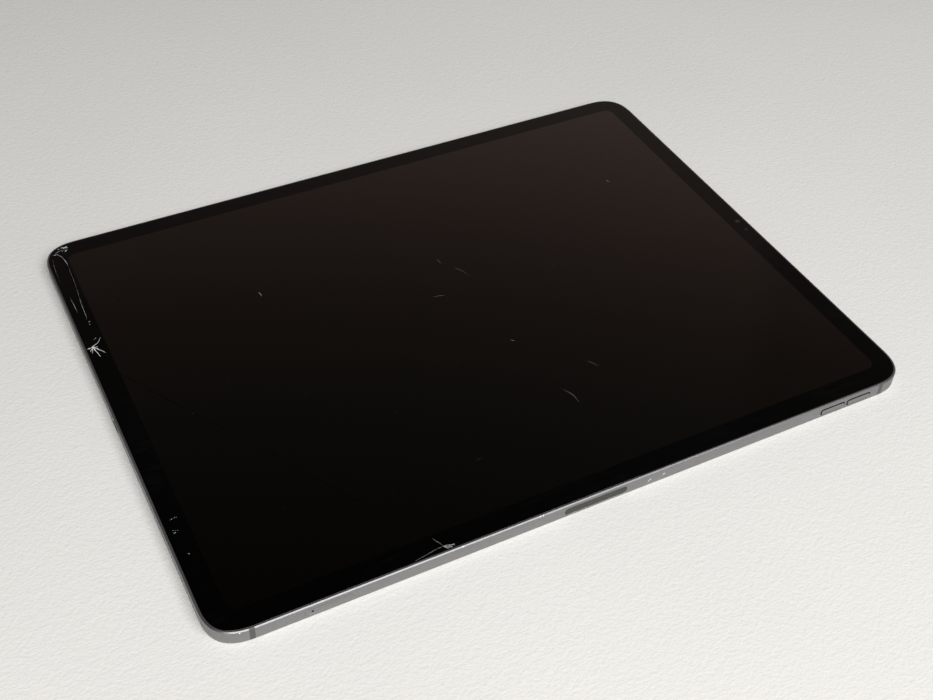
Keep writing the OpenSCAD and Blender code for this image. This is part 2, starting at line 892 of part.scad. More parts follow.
// Card tray: a rounded face with the eject hole, and a frame with a card seat.
module sim_tray() {
    opening_l = 9.6;
    opening_w = 7.2;
    seat_l = 12.5;
    seat_w = 9;
    seat_mid = tray_head_t + 1.1 + seat_l / 2;
    color("#77787c") lift() difference() {
        union() {
            near_side(tray_x, tray_z) side_bar(tray_l, tray_h, tray_h / 2 - 0.05, 0, tray_head_t);
            near_side(tray_frame_x, tray_z)
                translate([-tray_frame_w / 2, -tray_frame_t / 2, -tray_head_t - tray_frame_l])
                    cube([tray_frame_w, tray_frame_t, tray_frame_l + eps]);
        }
        near_side(eject_x, tray_z) translate([0, 0, -over - tray_head_t]) cylinder(d = eject_d, h = 3);
        slab(tray_frame_x, -body_w / 2 + seat_mid, tray_z - 0.22, seat_w, seat_l, 2);
        slab(tray_frame_x, -body_w / 2 + seat_mid, 0, opening_w, opening_l, 6);
    }
}

// Ejector: a flat lever. A pin put through the eject hole pushes its short arm, and its long arm
// pushes the end of the tray.
module eject_lever() {
    arm_w = 1.3;
    color("#a0a1a4") lift() translate([lever_pivot_x, lever_y, tray_z - lever_t / 2]) difference() {
        union() {
            cylinder(r = 1.15, h = lever_t);
            block([eject_x - lever_pivot_x, -arm_w / 2, 0], [lever_reach - (eject_x - lever_pivot_x), arm_w, lever_t]);
            translate([eject_x - lever_pivot_x, 0, 0]) cylinder(r = arm_w / 2, h = lever_t);
            translate([lever_reach, 0, 0]) cylinder(r = arm_w / 2, h = lever_t);
        }
        translate([0, 0, -over]) cylinder(r = lever_bore_r, h = 3);
    }
}

rear_cover();
antenna_bands();
charging_window();
charging_coil();
coil_ferrite();
cover_glass();
bezel_print();
display_gasket();
display_cell();
backlight_stack();
display_back_plate();
display_driver_board();
display_flex();
battery_cell_near();
battery_cell_far();
battery_adhesive();
battery_board();
logic_board();
processor();
board_chips();
board_shields();
heat_spreader();
board_standoffs();
board_screws();
speaker_top_near();
speaker_top_far();
speaker_bottom_near();
speaker_bottom_far();
speaker_meshes();
microphones();
front_camera();
infrared_camera();
dot_projector();
proximity_sensor();
sensor_bracket();
rear_camera_module();
camera_ring();
camera_lens();
flash_lens();
flash_board();
port_shell();
port_tongue();
port_contacts();
port_bracket();
port_flex();
accessory_contacts();
contact_carrier();
button_switches();
button_brackets();
bracket_screws();
button_flex();
sim_reader();
antenna_boards();
cover_magnets();
stylus_magnets();
volume_up_button();
volume_down_button();
power_button();
sim_tray();
eject_lever();
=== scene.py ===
"""Tablet computer with a bonded glass display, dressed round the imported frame.

The classes hold lengths in millimetres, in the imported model's own frame: +X points to the top
of the screen in portrait, +Y across it, +Z out of the glass. The meshes are in metres.
"""

import json
import logging
import math
from dataclasses import dataclass
from enum import Enum
from typing import Any, Sequence

import bmesh
import bpy
import numpy as np
from mathutils import Matrix, Vector


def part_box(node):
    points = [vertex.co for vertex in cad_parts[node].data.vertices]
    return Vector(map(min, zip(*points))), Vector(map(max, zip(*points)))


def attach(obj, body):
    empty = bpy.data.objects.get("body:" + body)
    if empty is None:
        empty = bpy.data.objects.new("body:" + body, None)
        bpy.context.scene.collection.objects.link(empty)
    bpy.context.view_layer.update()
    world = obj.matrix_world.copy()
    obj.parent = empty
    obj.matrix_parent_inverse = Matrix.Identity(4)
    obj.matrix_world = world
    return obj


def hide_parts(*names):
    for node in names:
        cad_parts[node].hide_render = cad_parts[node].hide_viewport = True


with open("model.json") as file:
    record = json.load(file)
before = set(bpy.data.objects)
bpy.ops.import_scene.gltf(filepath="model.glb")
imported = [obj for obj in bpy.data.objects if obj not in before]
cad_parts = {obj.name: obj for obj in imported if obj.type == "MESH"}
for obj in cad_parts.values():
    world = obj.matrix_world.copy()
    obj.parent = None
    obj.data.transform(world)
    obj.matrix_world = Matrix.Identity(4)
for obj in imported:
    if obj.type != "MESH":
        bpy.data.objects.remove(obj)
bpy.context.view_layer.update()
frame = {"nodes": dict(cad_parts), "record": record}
LOG = logging.getLogger("tablet")
MM = 0.001
MICRON = 1e-6
Colour = tuple[float, float, float]


# --------------------------------------------------------------------------- surfaces

@dataclass
class Surface:
    """Vertices in millimetres, with the faces that join them."""

    points: np.ndarray
    faces: list[list[int]]

    @staticmethod
    def joined(parts: Sequence["Surface"]) -> "Surface":
        """Put several surfaces into one, with each one's faces counted on from the last.

        Args:
            parts: The surfaces to join.
        Returns:
            One surface that holds them all.
        """
        starts = np.cumsum([0] + [len(part.points) for part in parts])
        faces = [[index + start for index in face]
                 for part, start in zip(parts, starts) for face in part.faces]
        return Surface(np.concatenate([part.points for part in parts]), faces)

    def moved(self, offset: Sequence[float]) -> "Surface":
        """The same surface, moved by offset millimetres."""
        return Surface(self.points + np.asarray(offset, float), self.faces)


class Side(Enum):
    """Faces of the tablet, each as the directions of its u, v and outward axes."""

    NEAR = ((1, 0, 0), (0, 0, 1), (0, -1, 0))
    FAR = ((-1, 0, 0), (0, 0, 1), (0, 1, 0))
    TOP = ((0, 1, 0), (0, 0, 1), (1, 0, 0))
    BOTTOM = ((0, -1, 0), (0, 0, 1), (-1, 0, 0))
    BACK = ((1, 0, 0), (0, -1, 0), (0, 0, -1))
    FRONT = ((1, 0, 0), (0, 1, 0), (0, 0, 1))

    def put(self, surface: Surface, origin: Sequence[float]) -> Surface:
        """Turn a surface from (u, v, outward) to the tablet's axes, round a point on this face.

        Args:
            surface: The surface in the face's own axes.
            origin: The point of the tablet that the face's zero stands on.
        Returns:
            The surface in the tablet's frame.
        """
        turned = surface.points @ np.array(self.value, float)
        return Surface(turned + np.asarray(origin, float), surface.faces)


def grid_faces(rows: int, columns: int, wrap_rows: bool = False) -> list[list[int]]:
    """Quads between the neighbours of a grid whose columns close on themselves.

    Args:
        rows: Number of rows. Point (r, c) of the grid has the index r * columns + c.
        columns: Number of points in each row.
        wrap_rows: Join the last row to the first.
    Returns:
        The quads, as lists of four indices.
    """
    row, column = np.meshgrid(np.arange(rows if wrap_rows else rows - 1), np.arange(columns), indexing="ij")
    row_next, column_next = (row + 1) % rows, (column + 1) % columns
    corners = (row * columns + column, row * columns + column_next,
               row_next * columns + column_next, row_next * columns + column)
    return np.stack(corners, -1).reshape(-1, 4).tolist()


@dataclass
class Loop:
    """A closed outline in plan, with the outward unit normal at each of its points."""

    points: np.ndarray
    normals: np.ndarray

    @staticmethod
    def rounded(length: float, width: float, reach: float, power: float = 2.0, steps: int = 10) -> "Loop":
        """Rectangle whose corners are quarter superellipses.

        A corner is x = cx + reach * cos(t)^(2/power), y = cy + reach * sin(t)^(2/power), with t
        from 0 to a quarter turn. A power of 2 gives a true arc, and more eases into the sides.

        Args:
            length: Size along x.
            width: Size along y.
            reach: How far a corner reaches along each side.
            power: The superellipse's exponent.
            steps: Points in each corner, less one.
        Returns:
            The loop, counterclockwise.
        """
        turn = np.linspace(0, math.pi / 2, steps + 1)
        c, s = np.clip(np.cos(turn), 0, 1), np.clip(np.sin(turn), 0, 1)
        corner = np.stack([c ** (2 / power), s ** (2 / power)], -1) * reach
        normal = np.stack([c ** (2 - 2 / power), s ** (2 - 2 / power)], -1)
        normal /= np.linalg.norm(normal, axis=1, keepdims=True)
        centre = np.array([length / 2 - reach, width / 2 - reach])
        points, normals = [], []
        for quarter, sign in enumerate(((1, 1), (-1, 1), (-1, -1), (1, -1))):
            order = slice(None) if quarter % 2 == 0 else slice(None, None, -1)
            points.append(((corner + centre) * sign)[order])
            normals.append((normal * sign)[order])
        return Loop(np.concatenate(points), np.concatenate(normals))

    @staticmethod
    def circle(radius: float, steps: int = 32) -> "Loop":
        """Circle: point = radius * (cos a, sin a), with a in equal steps round the turn.

        Args:
            radius: Radius of the circle.
            steps: Number of points.
        Returns:
            The loop.
        """
        angle = np.arange(steps) * 2 * math.pi / steps
        normal = np.stack([np.cos(angle), np.sin(angle)], -1)
        return Loop(normal * radius, normal)

    def sweep(self, profile: Sequence[tuple[float, float]], ring: bool = False) -> Surface:
        """Carry a profile round the loop: point(k, m) = loop[m] - inset[k] * normal[m], at height[k].

        Args:
            profile: Pairs of inset and height.
            ring: Close the profile on itself, or else cap its first and last loops.
        Returns:
            A closed surface.
        """
        steps = np.asarray(profile, float)
        plan = self.points[None] - steps[:, :1, None] * self.normals[None]
        height = np.broadcast_to(steps[:, 1:, None], plan.shape[:2] + (1,))
        count = len(self.points)
        faces = grid_faces(len(steps), count, ring)
        if not ring:
            faces += [list(range(count))[::-1], list(range(count * (len(steps) - 1), count * len(steps)))]
        return Surface(np.concatenate([plan, height], -1).reshape(-1, 3), faces)


def arc(inset: float, height: float, radius: float, start: float, end: float,
        steps: int = 6) -> list[tuple[float, float]]:
    """Points of a profile's arc: (inset - radius * cos a, height + radius * sin a), a in degrees.

    Args:
        inset: Inset of the arc's centre.
        height: Height of the arc's centre.
        radius: Radius of the arc.
        start: First angle: 0 points outwards and 90 up.
        end: Last angle.
        steps: Number of straight pieces.
    Returns:
        The points, as pairs of inset and height.
    """
    angle = np.radians(np.linspace(start, end, steps + 1))
    return list(zip((inset - radius * np.cos(angle)).tolist(), (height + radius * np.sin(angle)).tolist()))


def box(low: Sequence[float], high: Sequence[float]) -> Surface:
    """Box between two corners: the rectangle of its plan, swept straight up.

    Args:
        low: Lowest corner.
        high: Highest corner.
    Returns:
        A closed surface.
    """
    (x0, y0, z0), (x1, y1, z1) = low, high
    plan = Loop(np.array([[x0, y0], [x1, y0], [x1, y1], [x0, y1]], float), np.zeros((4, 2)))
    return plan.sweep([(0, z0), (0, z1)])


def lathe(profile: Sequence[tuple[float, float]], steps: int = 64, ring: bool = False) -> Surface:
    """Turn a profile of radius and height round the outward axis.

    Args:
        profile: Pairs of radius and height, from the axis outwards and back, or a closed ring.
        steps: Points round the turn.
        ring: The profile closes on itself and stays clear of the axis.
    Returns:
        A closed surface: point(k, m) = (radius[k] * cos a[m], radius[k] * sin a[m], height[k]).
    """
    return Loop.circle(1.0, steps).sweep([(1 - radius, height) for radius, height in profile], ring)


def groove(loop: Loop, mouth: float, depth: float, flare: float = 0.3) -> Surface:
    """Cutter for a pocket whose mouth is chamfered: wide above the face, straight below it.

    Args:
        loop: The pocket's outline.
        mouth: Width of the chamfer at the face.
        depth: Depth of the pocket below the face.
        flare: Height of the cutter above the face.
    Returns:
        A closed surface in the face's own axes, with 0 at the face.
    """
    return loop.sweep([(0, -depth), (0, -mouth), (-mouth - flare, flare)])


def ribbon(path: Sequence[tuple[float, float]], width: float, level: float, crown: float,
           taper: float = 0.15) -> Surface:
    """Low ridge along a path on a level face, pointed at its ends.

    The section at each point is a flat diamond: half the width to each side at the level, with
    the crown above it and as much below.

    Args:
        path: Points of the path.
        width: Greatest width.
        level: Height of the face.
        crown: Height of the ridge above it.
        taper: Width of the ends, as a share of the greatest.
    Returns:
        A closed surface.
    """
    line = np.asarray(path, float)
    along = np.gradient(line, axis=0)
    along /= np.linalg.norm(along, axis=1, keepdims=True)
    across = np.stack([-along[:, 1], along[:, 0]], -1)
    share = np.sin(np.linspace(0, math.pi, len(line))) ** 0.6
    half = (width / 2 * (taper + (1 - taper) * share))[:, None]
    level_points = np.full((len(line), 1), level)
    rows = [np.hstack([line - across * half, level_points]), np.hstack([line, level_points - crown]),
            np.hstack([line + across * half, level_points]), np.hstack([line, level_points + crown])]
    points = np.stack(rows, 1).reshape(-1, 3)
    last = 4 * (len(line) - 1)
    return Surface(points, grid_faces(len(line), 4) + [[3, 2, 1, 0], [last, last + 1, last + 2, last + 3]])


def wander(start: Sequence[float], end: Sequence[float], bow: float, rough: float, draw: np.random.Generator,
           steps: int = 9) -> np.ndarray:
    """Path of a crack: a straight line bowed by a half sine, with small random kinks.

    Args:
        start: First point.
        end: Last point.
        bow: How far its middle leaves the straight line.
        rough: Size of the kinks.
        draw: Seeded source of the kinks.
        steps: Number of straight pieces.
    Returns:
        The points: start + t * (end - start) + side * (bow * sin(pi t) + kink).
    """
    a, b = np.asarray(start, float), np.asarray(end, float)
    t = np.linspace(0, 1, steps + 1)[:, None]
    side = np.array([a[1] - b[1], b[0] - a[0]]) / max(float(np.linalg.norm(b - a)), 1e-9)
    kink = draw.normal(0, rough, (steps + 1, 1)) * np.sin(math.pi * t)
    return a + t * (b - a) + side * (bow * np.sin(math.pi * t) + kink)


def flakes(places: np.ndarray, sizes: np.ndarray, height: float, draw: np.random.Generator,
           stretch: float = 1.0) -> Surface:
    """Small faceted flakes, each a ragged pentagon with a low point above and below it.

    Args:
        places: Centre of each flake, as (u, v) and height.
        sizes: Radius of each flake.
        height: Height of each flake's point.
        draw: Seeded source of the ragged outline.
        stretch: Longer along u than along v by this factor.
    Returns:
        A surface of one closed flake for each place.
    """
    count, corners = len(places), 5
    angle = np.arange(corners) * 2 * math.pi / corners + draw.uniform(0, 2 * math.pi, (count, 1))
    radius = np.asarray(sizes)[:, None] * draw.uniform(0.55, 1.15, (count, corners))
    rim = np.stack([radius * np.cos(angle) * stretch, radius * np.sin(angle), np.zeros_like(radius)], -1)
    tips = np.zeros((count, 2, 3))
    tips[:, 0, 2], tips[:, 1, 2] = height, -height
    points = np.concatenate([rim, tips], 1) + np.asarray(places, float)[:, None]
    around = np.arange(corners)
    after = (around + 1) % corners
    one = np.concatenate([np.stack([around, after, np.full(corners, corners)], -1),
                          np.stack([after, around, np.full(corners, corners + 1)], -1)])
    faces = (one[None] + np.arange(count)[:, None, None] * (corners + 2)).reshape(-1, 3)
    return Surface(points.reshape(-1, 3), faces.tolist())


# --------------------------------------------------------------------------- pieces

def mesh_of(name: str, surface: Surface) -> bpy.types.Object:
    """Make a closed mesh object in metres, with all its faces turned outwards.

    Args:
        name: Name of the object and its mesh.
        surface: Its surface, in millimetres.
    Returns:
        The object, linked to the scene, at the origin.
    """
    mesh = bpy.data.meshes.new(name)
    mesh.from_pydata((surface.points * MM).tolist(), [], surface.faces)
    work = bmesh.new()
    work.from_mesh(mesh)
    bmesh.ops.recalc_face_normals(work, faces=work.faces[:])
    work.to_mesh(mesh)
    work.free()
    made = bpy.data.objects.new(name, mesh)
    bpy.context.scene.collection.objects.link(made)
    return made


def carve(target: bpy.types.Object, surface: Surface, operation: str = "DIFFERENCE") -> None:
    """Cut a surface out of a piece, or keep only what is inside it, and apply the result.

    Args:
        target: The piece to cut.
        surface: The cutter, in millimetres.
        operation: DIFFERENCE or INTERSECT.
    """
    cutter = mesh_of(target.name + ".cutter", surface)
    step = target.modifiers.new("carve", "BOOLEAN")
    step.operation, step.solver, step.object, step.use_self = operation, "EXACT", cutter, True
    bpy.context.view_layer.update()
    shaped = bpy.data.meshes.new_from_object(target.evaluated_get(bpy.context.evaluated_depsgraph_get()))
    target.modifiers.clear()
    before, target.data = target.data, shaped
    shaped.name = target.name
    bpy.data.meshes.remove(before)
    bpy.data.objects.remove(cutter)


def smooth(target: bpy.types.Object, angle: float = 32.0) -> None:
    """Shade a piece smooth, with its sharper creases left crisp.

    Args:
        target: The piece.
        angle: Angle past which an edge stays crisp, in degrees.
    """
    target.data.shade_smooth()
    target.data.set_sharp_from_angle(angle=math.radians(angle))
    even = target.modifiers.new("even_normals", "WEIGHTED_NORMAL")
    even.keep_sharp, even.weight = True, 80


def finish_piece(piece: bpy.types.Object, material: bpy.types.Material, body: str,
                 stands_for: Sequence[str] = (), crease: float = 32.0) -> bpy.types.Object:
    """Give a piece its finish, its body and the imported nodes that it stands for.

    Args:
        piece: The piece.
        material: Its material.
        body: The body that it moves with.
        stands_for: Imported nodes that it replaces.
        crease: Angle past which an edge stays crisp, in degrees.
    Returns:
        The piece.
    """
    piece.data.materials.clear()
    piece.data.materials.append(material)
    smooth(piece, crease)
    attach(piece, body)
    if stands_for:
        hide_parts(*stands_for)
    LOG.info("%s rides on %s: %d faces", piece.name, body, len(piece.data.polygons))
    return piece


def node_box(node: str) -> tuple[np.ndarray, np.ndarray]:
    """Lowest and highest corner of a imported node, in millimetres."""
    low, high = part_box(node)
    return np.array(low) / MM, np.array(high) / MM


def node_middle(node: str) -> np.ndarray:
    """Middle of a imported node's box, in millimetres."""
    return sum(node_box(node)) / 2


# --------------------------------------------------------------------------- finishes

class NodeTree:
    """Node tree of a material or of the room, with short ways to add to it."""

    def __init__(self, owner: bpy.types.Material | bpy.types.World) -> None:
        """Switch the owner's nodes on and take its tree."""
        owner.use_nodes = True
        self.tree = owner.node_tree

    def fill(self, node: bpy.types.Node, inputs: dict[Any, Any]) -> None:
        """Set or link a node's inputs.

        Args:
            node: The node.
            inputs: For each input's name or number, a socket to link or a value to set.
        """
        for key, value in inputs.items():
            if isinstance(value, bpy.types.NodeSocket):
                self.tree.links.new(value, node.inputs[key])
            else:
                node.inputs[key].default_value = value

    def add(self, kind: str, inputs: dict[Any, Any] | None = None, **settings: Any) -> bpy.types.Node:
        """Add a node.

        Args:
            kind: Blender's name of the node type.
            inputs: Values or sockets for its inputs.
            settings: Properties of the node.
        Returns:
            The node.
        """
        node = self.tree.nodes.new(kind)
        for key, value in settings.items():
            setattr(node, key, value)
        self.fill(node, inputs or {})
        return node

    def sum(self, operation: str, *values: Any) -> bpy.types.NodeSocket:
        """Result of a Math node on one, two or three values."""
        return self.add("ShaderNodeMath", dict(enumerate(values)), operation=operation).outputs[0]

    def vector(self, operation: str, first: Any, second: Any, output: int = 0) -> Any:
        """Output 0 (a vector) or 1 (a number) of a Vector Math node on two values."""
        return self.add("ShaderNodeVectorMath", {0: first, 1: second}, operation=operation).outputs[output]

    def remap(self, value: Any, low: float, high: float, to_low: float = 0.0, to_high: float = 1.0) -> Any:
        """Map a range of a value to another, and clamp it there."""
        return self.add("ShaderNodeMapRange", {"Value": value, "From Min": low, "From Max": high,
                                               "To Min": to_low, "To Max": to_high}).outputs[0]

    def blend(self, factor: Any, first: Any, second: Any) -> Any:
        """Mix two colours, each a triple or a socket."""
        whole = [(*c, 1.0) if isinstance(c, tuple) else c for c in (first, second)]
        return self.add("ShaderNodeMix", {0: factor, 6: whole[0], 7: whole[1]}, data_type="RGBA").outputs[2]


class Graph(NodeTree):
    """Node tree of one material, whose pattern reads the piece's own coordinates."""

    def __init__(self, name: str) -> None:
        """Make the material.

        Args:
            name: Name of the material.
        """
        self.material = bpy.data.materials.new(name)
        super().__init__(self.material)
        self.shader = self.tree.nodes["Principled BSDF"]
        self.place = self.add("ShaderNodeTexCoord").outputs["Object"]

    def noise(self, size: float, detail: float = 2.0, place: Any = None, roughness: float = 0.5) -> Any:
        """Noise from 0 to 1 whose lumps are about size millimetres across."""
        return self.add("ShaderNodeTexNoise", {"Vector": place or self.place, "Scale": 1 / (size * MM),
                                               "Detail": detail, "Roughness": roughness}).outputs[0]

    def stretched(self, scale: Colour, centre: Colour = (0, 0, 0)) -> Any:
        """The piece's coordinates less a centre in millimetres, times a scale along each axis."""
        moved = self.vector("SUBTRACT", self.place, tuple(c * MM for c in centre))
        return self.vector("MULTIPLY", moved, scale)

    def relief(self, height: Any, depth: float, below: Any = None) -> Any:
        """Bump that is depth micrometres deep, on top of another bump.

        Args:
            height: Socket of a height from 0 to 1.
            depth: Depth of the bump in micrometres.
            below: Normal of a coarser bump.
        Returns:
            The socket of the normal.
        """
        inputs = {"Height": height, "Distance": depth * MICRON, "Strength": 1.0}
        if below is not None:
            inputs["Normal"] = below
        return self.add("ShaderNodeBump", inputs).outputs[0]


class Pattern(Enum):
    """Surface textures that a plain finish can take."""

    GRAIN = "grain"
    ROLLED = "rolled"
    WOVEN = "woven"
    TRACKS = "tracks"
    FOIL = "foil"


@dataclass(frozen=True)
class Finish:
    """A finish made of one colour with its mottle, grain and way of scattering light."""

    name: str
    colour: Colour
    roughness: float = 0.5
    metallic: float = 0.0
    pattern: Pattern = Pattern.GRAIN
    grain: float = 0.12
    depth: float = 4.0
    mottle: float = 0.12
    coat: float = 0.0
    transmission: float = 0.0
    specular: float = 0.5

    def texture(self, graph: Graph) -> Any:
        """Height from 0 to 1 of the finish's own texture.

        Args:
            graph: The material's node tree.
        Returns:
            The socket that gives the height.
        """
        if self.pattern is Pattern.ROLLED:
            return graph.noise(self.grain, 4, graph.stretched((0.04, 1.0, 1.0)))
        if self.pattern is Pattern.WOVEN:
            scale = 1 / (self.grain * MM * 3)
            waves = [graph.add("ShaderNodeTexWave", {"Vector": graph.place, "Scale": scale},
                               bands_direction=axis).outputs[1] for axis in ("Y", "Z")]
            return graph.sum("MULTIPLY", *waves)
        if self.pattern is Pattern.TRACKS:
            tracks = graph.add("ShaderNodeTexVoronoi", {"Vector": graph.stretched((1.0, 1.0, 0.0)),
                                                        "Scale": 1 / (self.grain * MM * 12)},
                               distance="CHEBYCHEV", feature="F1").outputs[0]
            return graph.sum("PINGPONG", graph.sum("MULTIPLY", tracks, 5.0), 0.5)
        if self.pattern is Pattern.FOIL:
            return graph.noise(self.grain * 12, 5, roughness=0.62)
        return graph.noise(self.grain, 3)

    def build(self) -> bpy.types.Material:
        """Make the material.

        Returns:
            The material, whose colour and roughness follow a mottle and whose relief is its texture.
        """
        graph = Graph(self.name)
        texture = self.texture(graph)
        mottle = graph.noise(self.grain * 40, 4)
        shade = graph.sum("ADD", graph.sum("MULTIPLY", mottle, 0.6), graph.sum("MULTIPLY", texture, 0.4))
        dark = tuple(c * (1 - self.mottle) for c in self.colour)
        light = tuple(min(1.0, c * (1 + self.mottle)) for c in self.colour)
        graph.fill(graph.shader, {
            "Base Color": graph.blend(graph.remap(shade, 0.3, 0.7), dark, light),
            "Roughness": graph.remap(mottle, 0.3, 0.7, self.roughness * 0.9, min(1.0, self.roughness * 1.12)),
            "Metallic": self.metallic,
            "Specular IOR Level": self.specular,
            "Coat Weight": self.coat,
            "Coat Roughness": 0.05,
            "Transmission Weight": self.transmission,
            "Normal": graph.relief(texture, self.depth),
        })
        return graph.material


@dataclass(frozen=True)
class Anodised:
    """Bead-blasted, dark grey anodised aluminium, handled enough to show faint wear."""

    name: str = "anodised_aluminium"
    colour: Colour = (0.315, 0.311, 0.315)
    roughness: float = 0.4
    blast: float = 0.09
    edge_tint: Colour = (0.8, 0.8, 0.8)

    def shaded(self, graph: Graph, colour: Any) -> Any:
        """Colour after any shading that depends on place. This finish has none."""
        return colour

    def build(self) -> bpy.types.Material:
        """Make the material.

        Returns:
            Metal with a blasted micro-relief, soft mottle from handling and a few fine scuffs.
        """
        graph = Graph(self.name)
        blast = graph.noise(self.blast, 3)
        mottle = graph.noise(9.0, 4)
        scuff = graph.noise(0.35, 2, graph.stretched((0.12, 0.12, 1.0)))
        scuffed = graph.remap(graph.sum("MULTIPLY", scuff, graph.noise(14.0, 2)), 0.40, 0.50)
        tone = graph.blend(graph.remap(blast, 0.3, 0.7), tuple(c * 0.88 for c in self.colour),
                           tuple(c * 1.1 for c in self.colour))
        worn = graph.blend(graph.sum("MULTIPLY", scuffed, 0.25), tone, tuple(c * 1.5 for c in self.colour))
        graph.fill(graph.shader, {
            "Base Color": self.shaded(graph, graph.blend(graph.remap(mottle, 0.35, 0.7, 0.0, 0.14), worn,
                                                         tuple(c * 0.72 for c in self.colour))),
            "Roughness": graph.remap(mottle, 0.3, 0.7, self.roughness * 0.92, self.roughness * 1.1),
            "Metallic": 1.0,
            "Specular Tint": (*self.edge_tint, 1.0),
            "Normal": graph.relief(blast, 1.6, graph.relief(graph.noise(0.5, 2), 1.2)),
        })
        return graph.material


@dataclass(frozen=True)
class KeyMetal(Anodised):
    """Anodised button whose flanks below its face are darkened with painted shade, standing in for the shadow
    in the gap round it.
    """

    outward: Colour = (0.0, -1.0, 0.0)
    face: float = 107.65

    def shaded(self, graph: Graph, colour: Any) -> Any:
        """Paint shade on the colour from just below the button's face, by distance along its outward axis, so
        the flanks in the gap read as shadow.

        Args:
            graph: The material's node tree.
            colour: Socket of the metal's colour.
        Returns:
            The socket of the shaded colour.
        """
        reach = graph.vector("DOT_PRODUCT", graph.place, self.outward, 1)
        painted_gap_shade = graph.remap(reach, (self.face - 0.05) * MM, (self.face - 0.01) * MM)
        # painted shade: the flanks below the face turn near black, as the shadow in the gap round the button
        return graph.blend(painted_gap_shade, (0.012, 0.012, 0.012), colour)


@dataclass(frozen=True)
class PolishedCut:
    """Diamond-cut chamfer, bright, with fine tool lines along it and small knocks."""

    name: str = "polished_rim"
    colour: Colour = (0.25, 0.249, 0.253)

    def build(self) -> bpy.types.Material:
        """Make the material.

        Returns:
            Metal with fine lines along it, rougher and darker at its knocks.
        """
        graph = Graph(self.name)
        lines = graph.noise(0.05, 3, graph.stretched((0.03, 0.03, 1.0)))
        knocks = graph.remap(graph.noise(0.8, 4, roughness=0.7), 0.62, 0.72)
        graph.fill(graph.shader, {
            "Base Color": graph.blend(knocks, self.colour, tuple(c * 0.6 for c in self.colour)),
            "Roughness": graph.remap(knocks, 0.0, 1.0, 0.36, 0.5),
            "Metallic": 1.0,
            "Normal": graph.relief(lines, 0.5, graph.relief(knocks, 2.0)),
        })
        return graph.material


@dataclass(frozen=True)
class BondedGlass:
    """Polished cover glass over a black border and a dark, switched-off picture area.

    The clear coat is the glass's own surface. Under it the border takes no light, and the picture
    area throws back a dim, brown, blurred reflection from its layers.
    """

    name: str = "cover_glass"
    half_length: float = 131.45
    half_width: float = 98.5
    corner: float = 3.5
    border: Colour = (0.0003, 0.0003, 0.0003)
    layers: Colour = (0.066, 0.045, 0.040)
    smudge: Colour = (0.0045, 0.0045, 0.0045)

    def picture(self, graph: Graph) -> Any:
        """1 inside the picture area and 0 outside, with a hair-wide soft edge.

        The distance to a rounded rectangle is |max(|p| - half + corner, 0)| - corner.

        Args:
            graph: The material's node tree.
        Returns:
            The socket of the mask.
        """
        flat = graph.stretched((1.0, 1.0, 0.0))
        straight = ((self.half_length - self.corner) * MM, (self.half_width - self.corner) * MM, 0)
        beyond = graph.vector("SUBTRACT", graph.vector("ABSOLUTE", flat, (0, 0, 0)), straight)
        distance = graph.vector("LENGTH", graph.vector("MAXIMUM", beyond, (0, 0, 0)), (0, 0, 0), 1)
        return graph.remap(distance, (self.corner - 0.05) * MM, (self.corner + 0.05) * MM, 1.0, 0.0)

    def build(self) -> bpy.types.Material:
        """Make the material.

        Returns:
            Coated black border and dim metallic picture area, with wiped grease and dust on both.
        """
        graph = Graph(self.name)
        picture = self.picture(graph)
        haze = graph.remap(graph.noise(28.0, 5, roughness=0.6), 0.42, 0.75)
        wiped = graph.remap(graph.noise(2.2, 3, graph.stretched((0.25, 1.0, 1.0))), 0.45, 0.8)
        grease = graph.sum("MULTIPLY", haze, wiped)
        dust = graph.remap(graph.noise(0.35, 1), 0.79, 0.83)
        film = graph.sum("ADD", graph.sum("MULTIPLY", grease, 0.5), graph.sum("MULTIPLY", dust, 0.5))
        dark = graph.blend(picture, self.border, self.layers)
        graph.fill(graph.shader, {
            "Base Color": graph.blend(graph.sum("MULTIPLY", film, graph.remap(picture, 0, 1, 1.0, 0.25)),
                                      dark, self.smudge),
            "Metallic": graph.remap(picture, 0.0, 0.02),
            "Roughness": graph.remap(grease, 0.0, 1.0, 0.19, 0.25),
            "Specular IOR Level": 0.0,
            "Coat Weight": 1.0,
            "Coat Roughness": 0.025,
            "Coat IOR": 1.5,
        })
        return graph.material


@dataclass(frozen=True)
class LensFinish:
    """Dark coated glass with rings under it, round a given axis."""

    name: str
    centre: Colour
    pupil: float
    rim: float
    tint: Colour = (0.030, 0.024, 0.045)

    def build(self) -> bpy.types.Material:
        """Make the material.

        Returns:
            A tinted pupil, a black stop and a dark grey rim, by radius, under a clear coat.
        """
        graph = Graph(self.name)
        radius = graph.vector("LENGTH", graph.stretched((1.0, 1.0, 0.0), self.centre), (0, 0, 0), 1)
        inside = graph.remap(radius, self.pupil * 0.9 * MM, self.pupil * MM, 1.0, 0.0)
        edge = graph.remap(radius, self.rim * 0.93 * MM, self.rim * MM)
        lobed = graph.noise(self.pupil, 1)
        colour = graph.blend(inside, (0.002, 0.002, 0.002),
                             graph.blend(lobed, self.tint, tuple(c * 0.5 for c in self.tint)))
        graph.fill(graph.shader, {
            "Base Color": graph.blend(edge, colour, (0.012, 0.012, 0.014)),
            "Metallic": inside,
            "Roughness": graph.remap(lobed, 0.0, 1.0, 0.10, 0.2),
            "Coat Weight": 1.0,
            "Coat Roughness": 0.02,
        })
        return graph.material


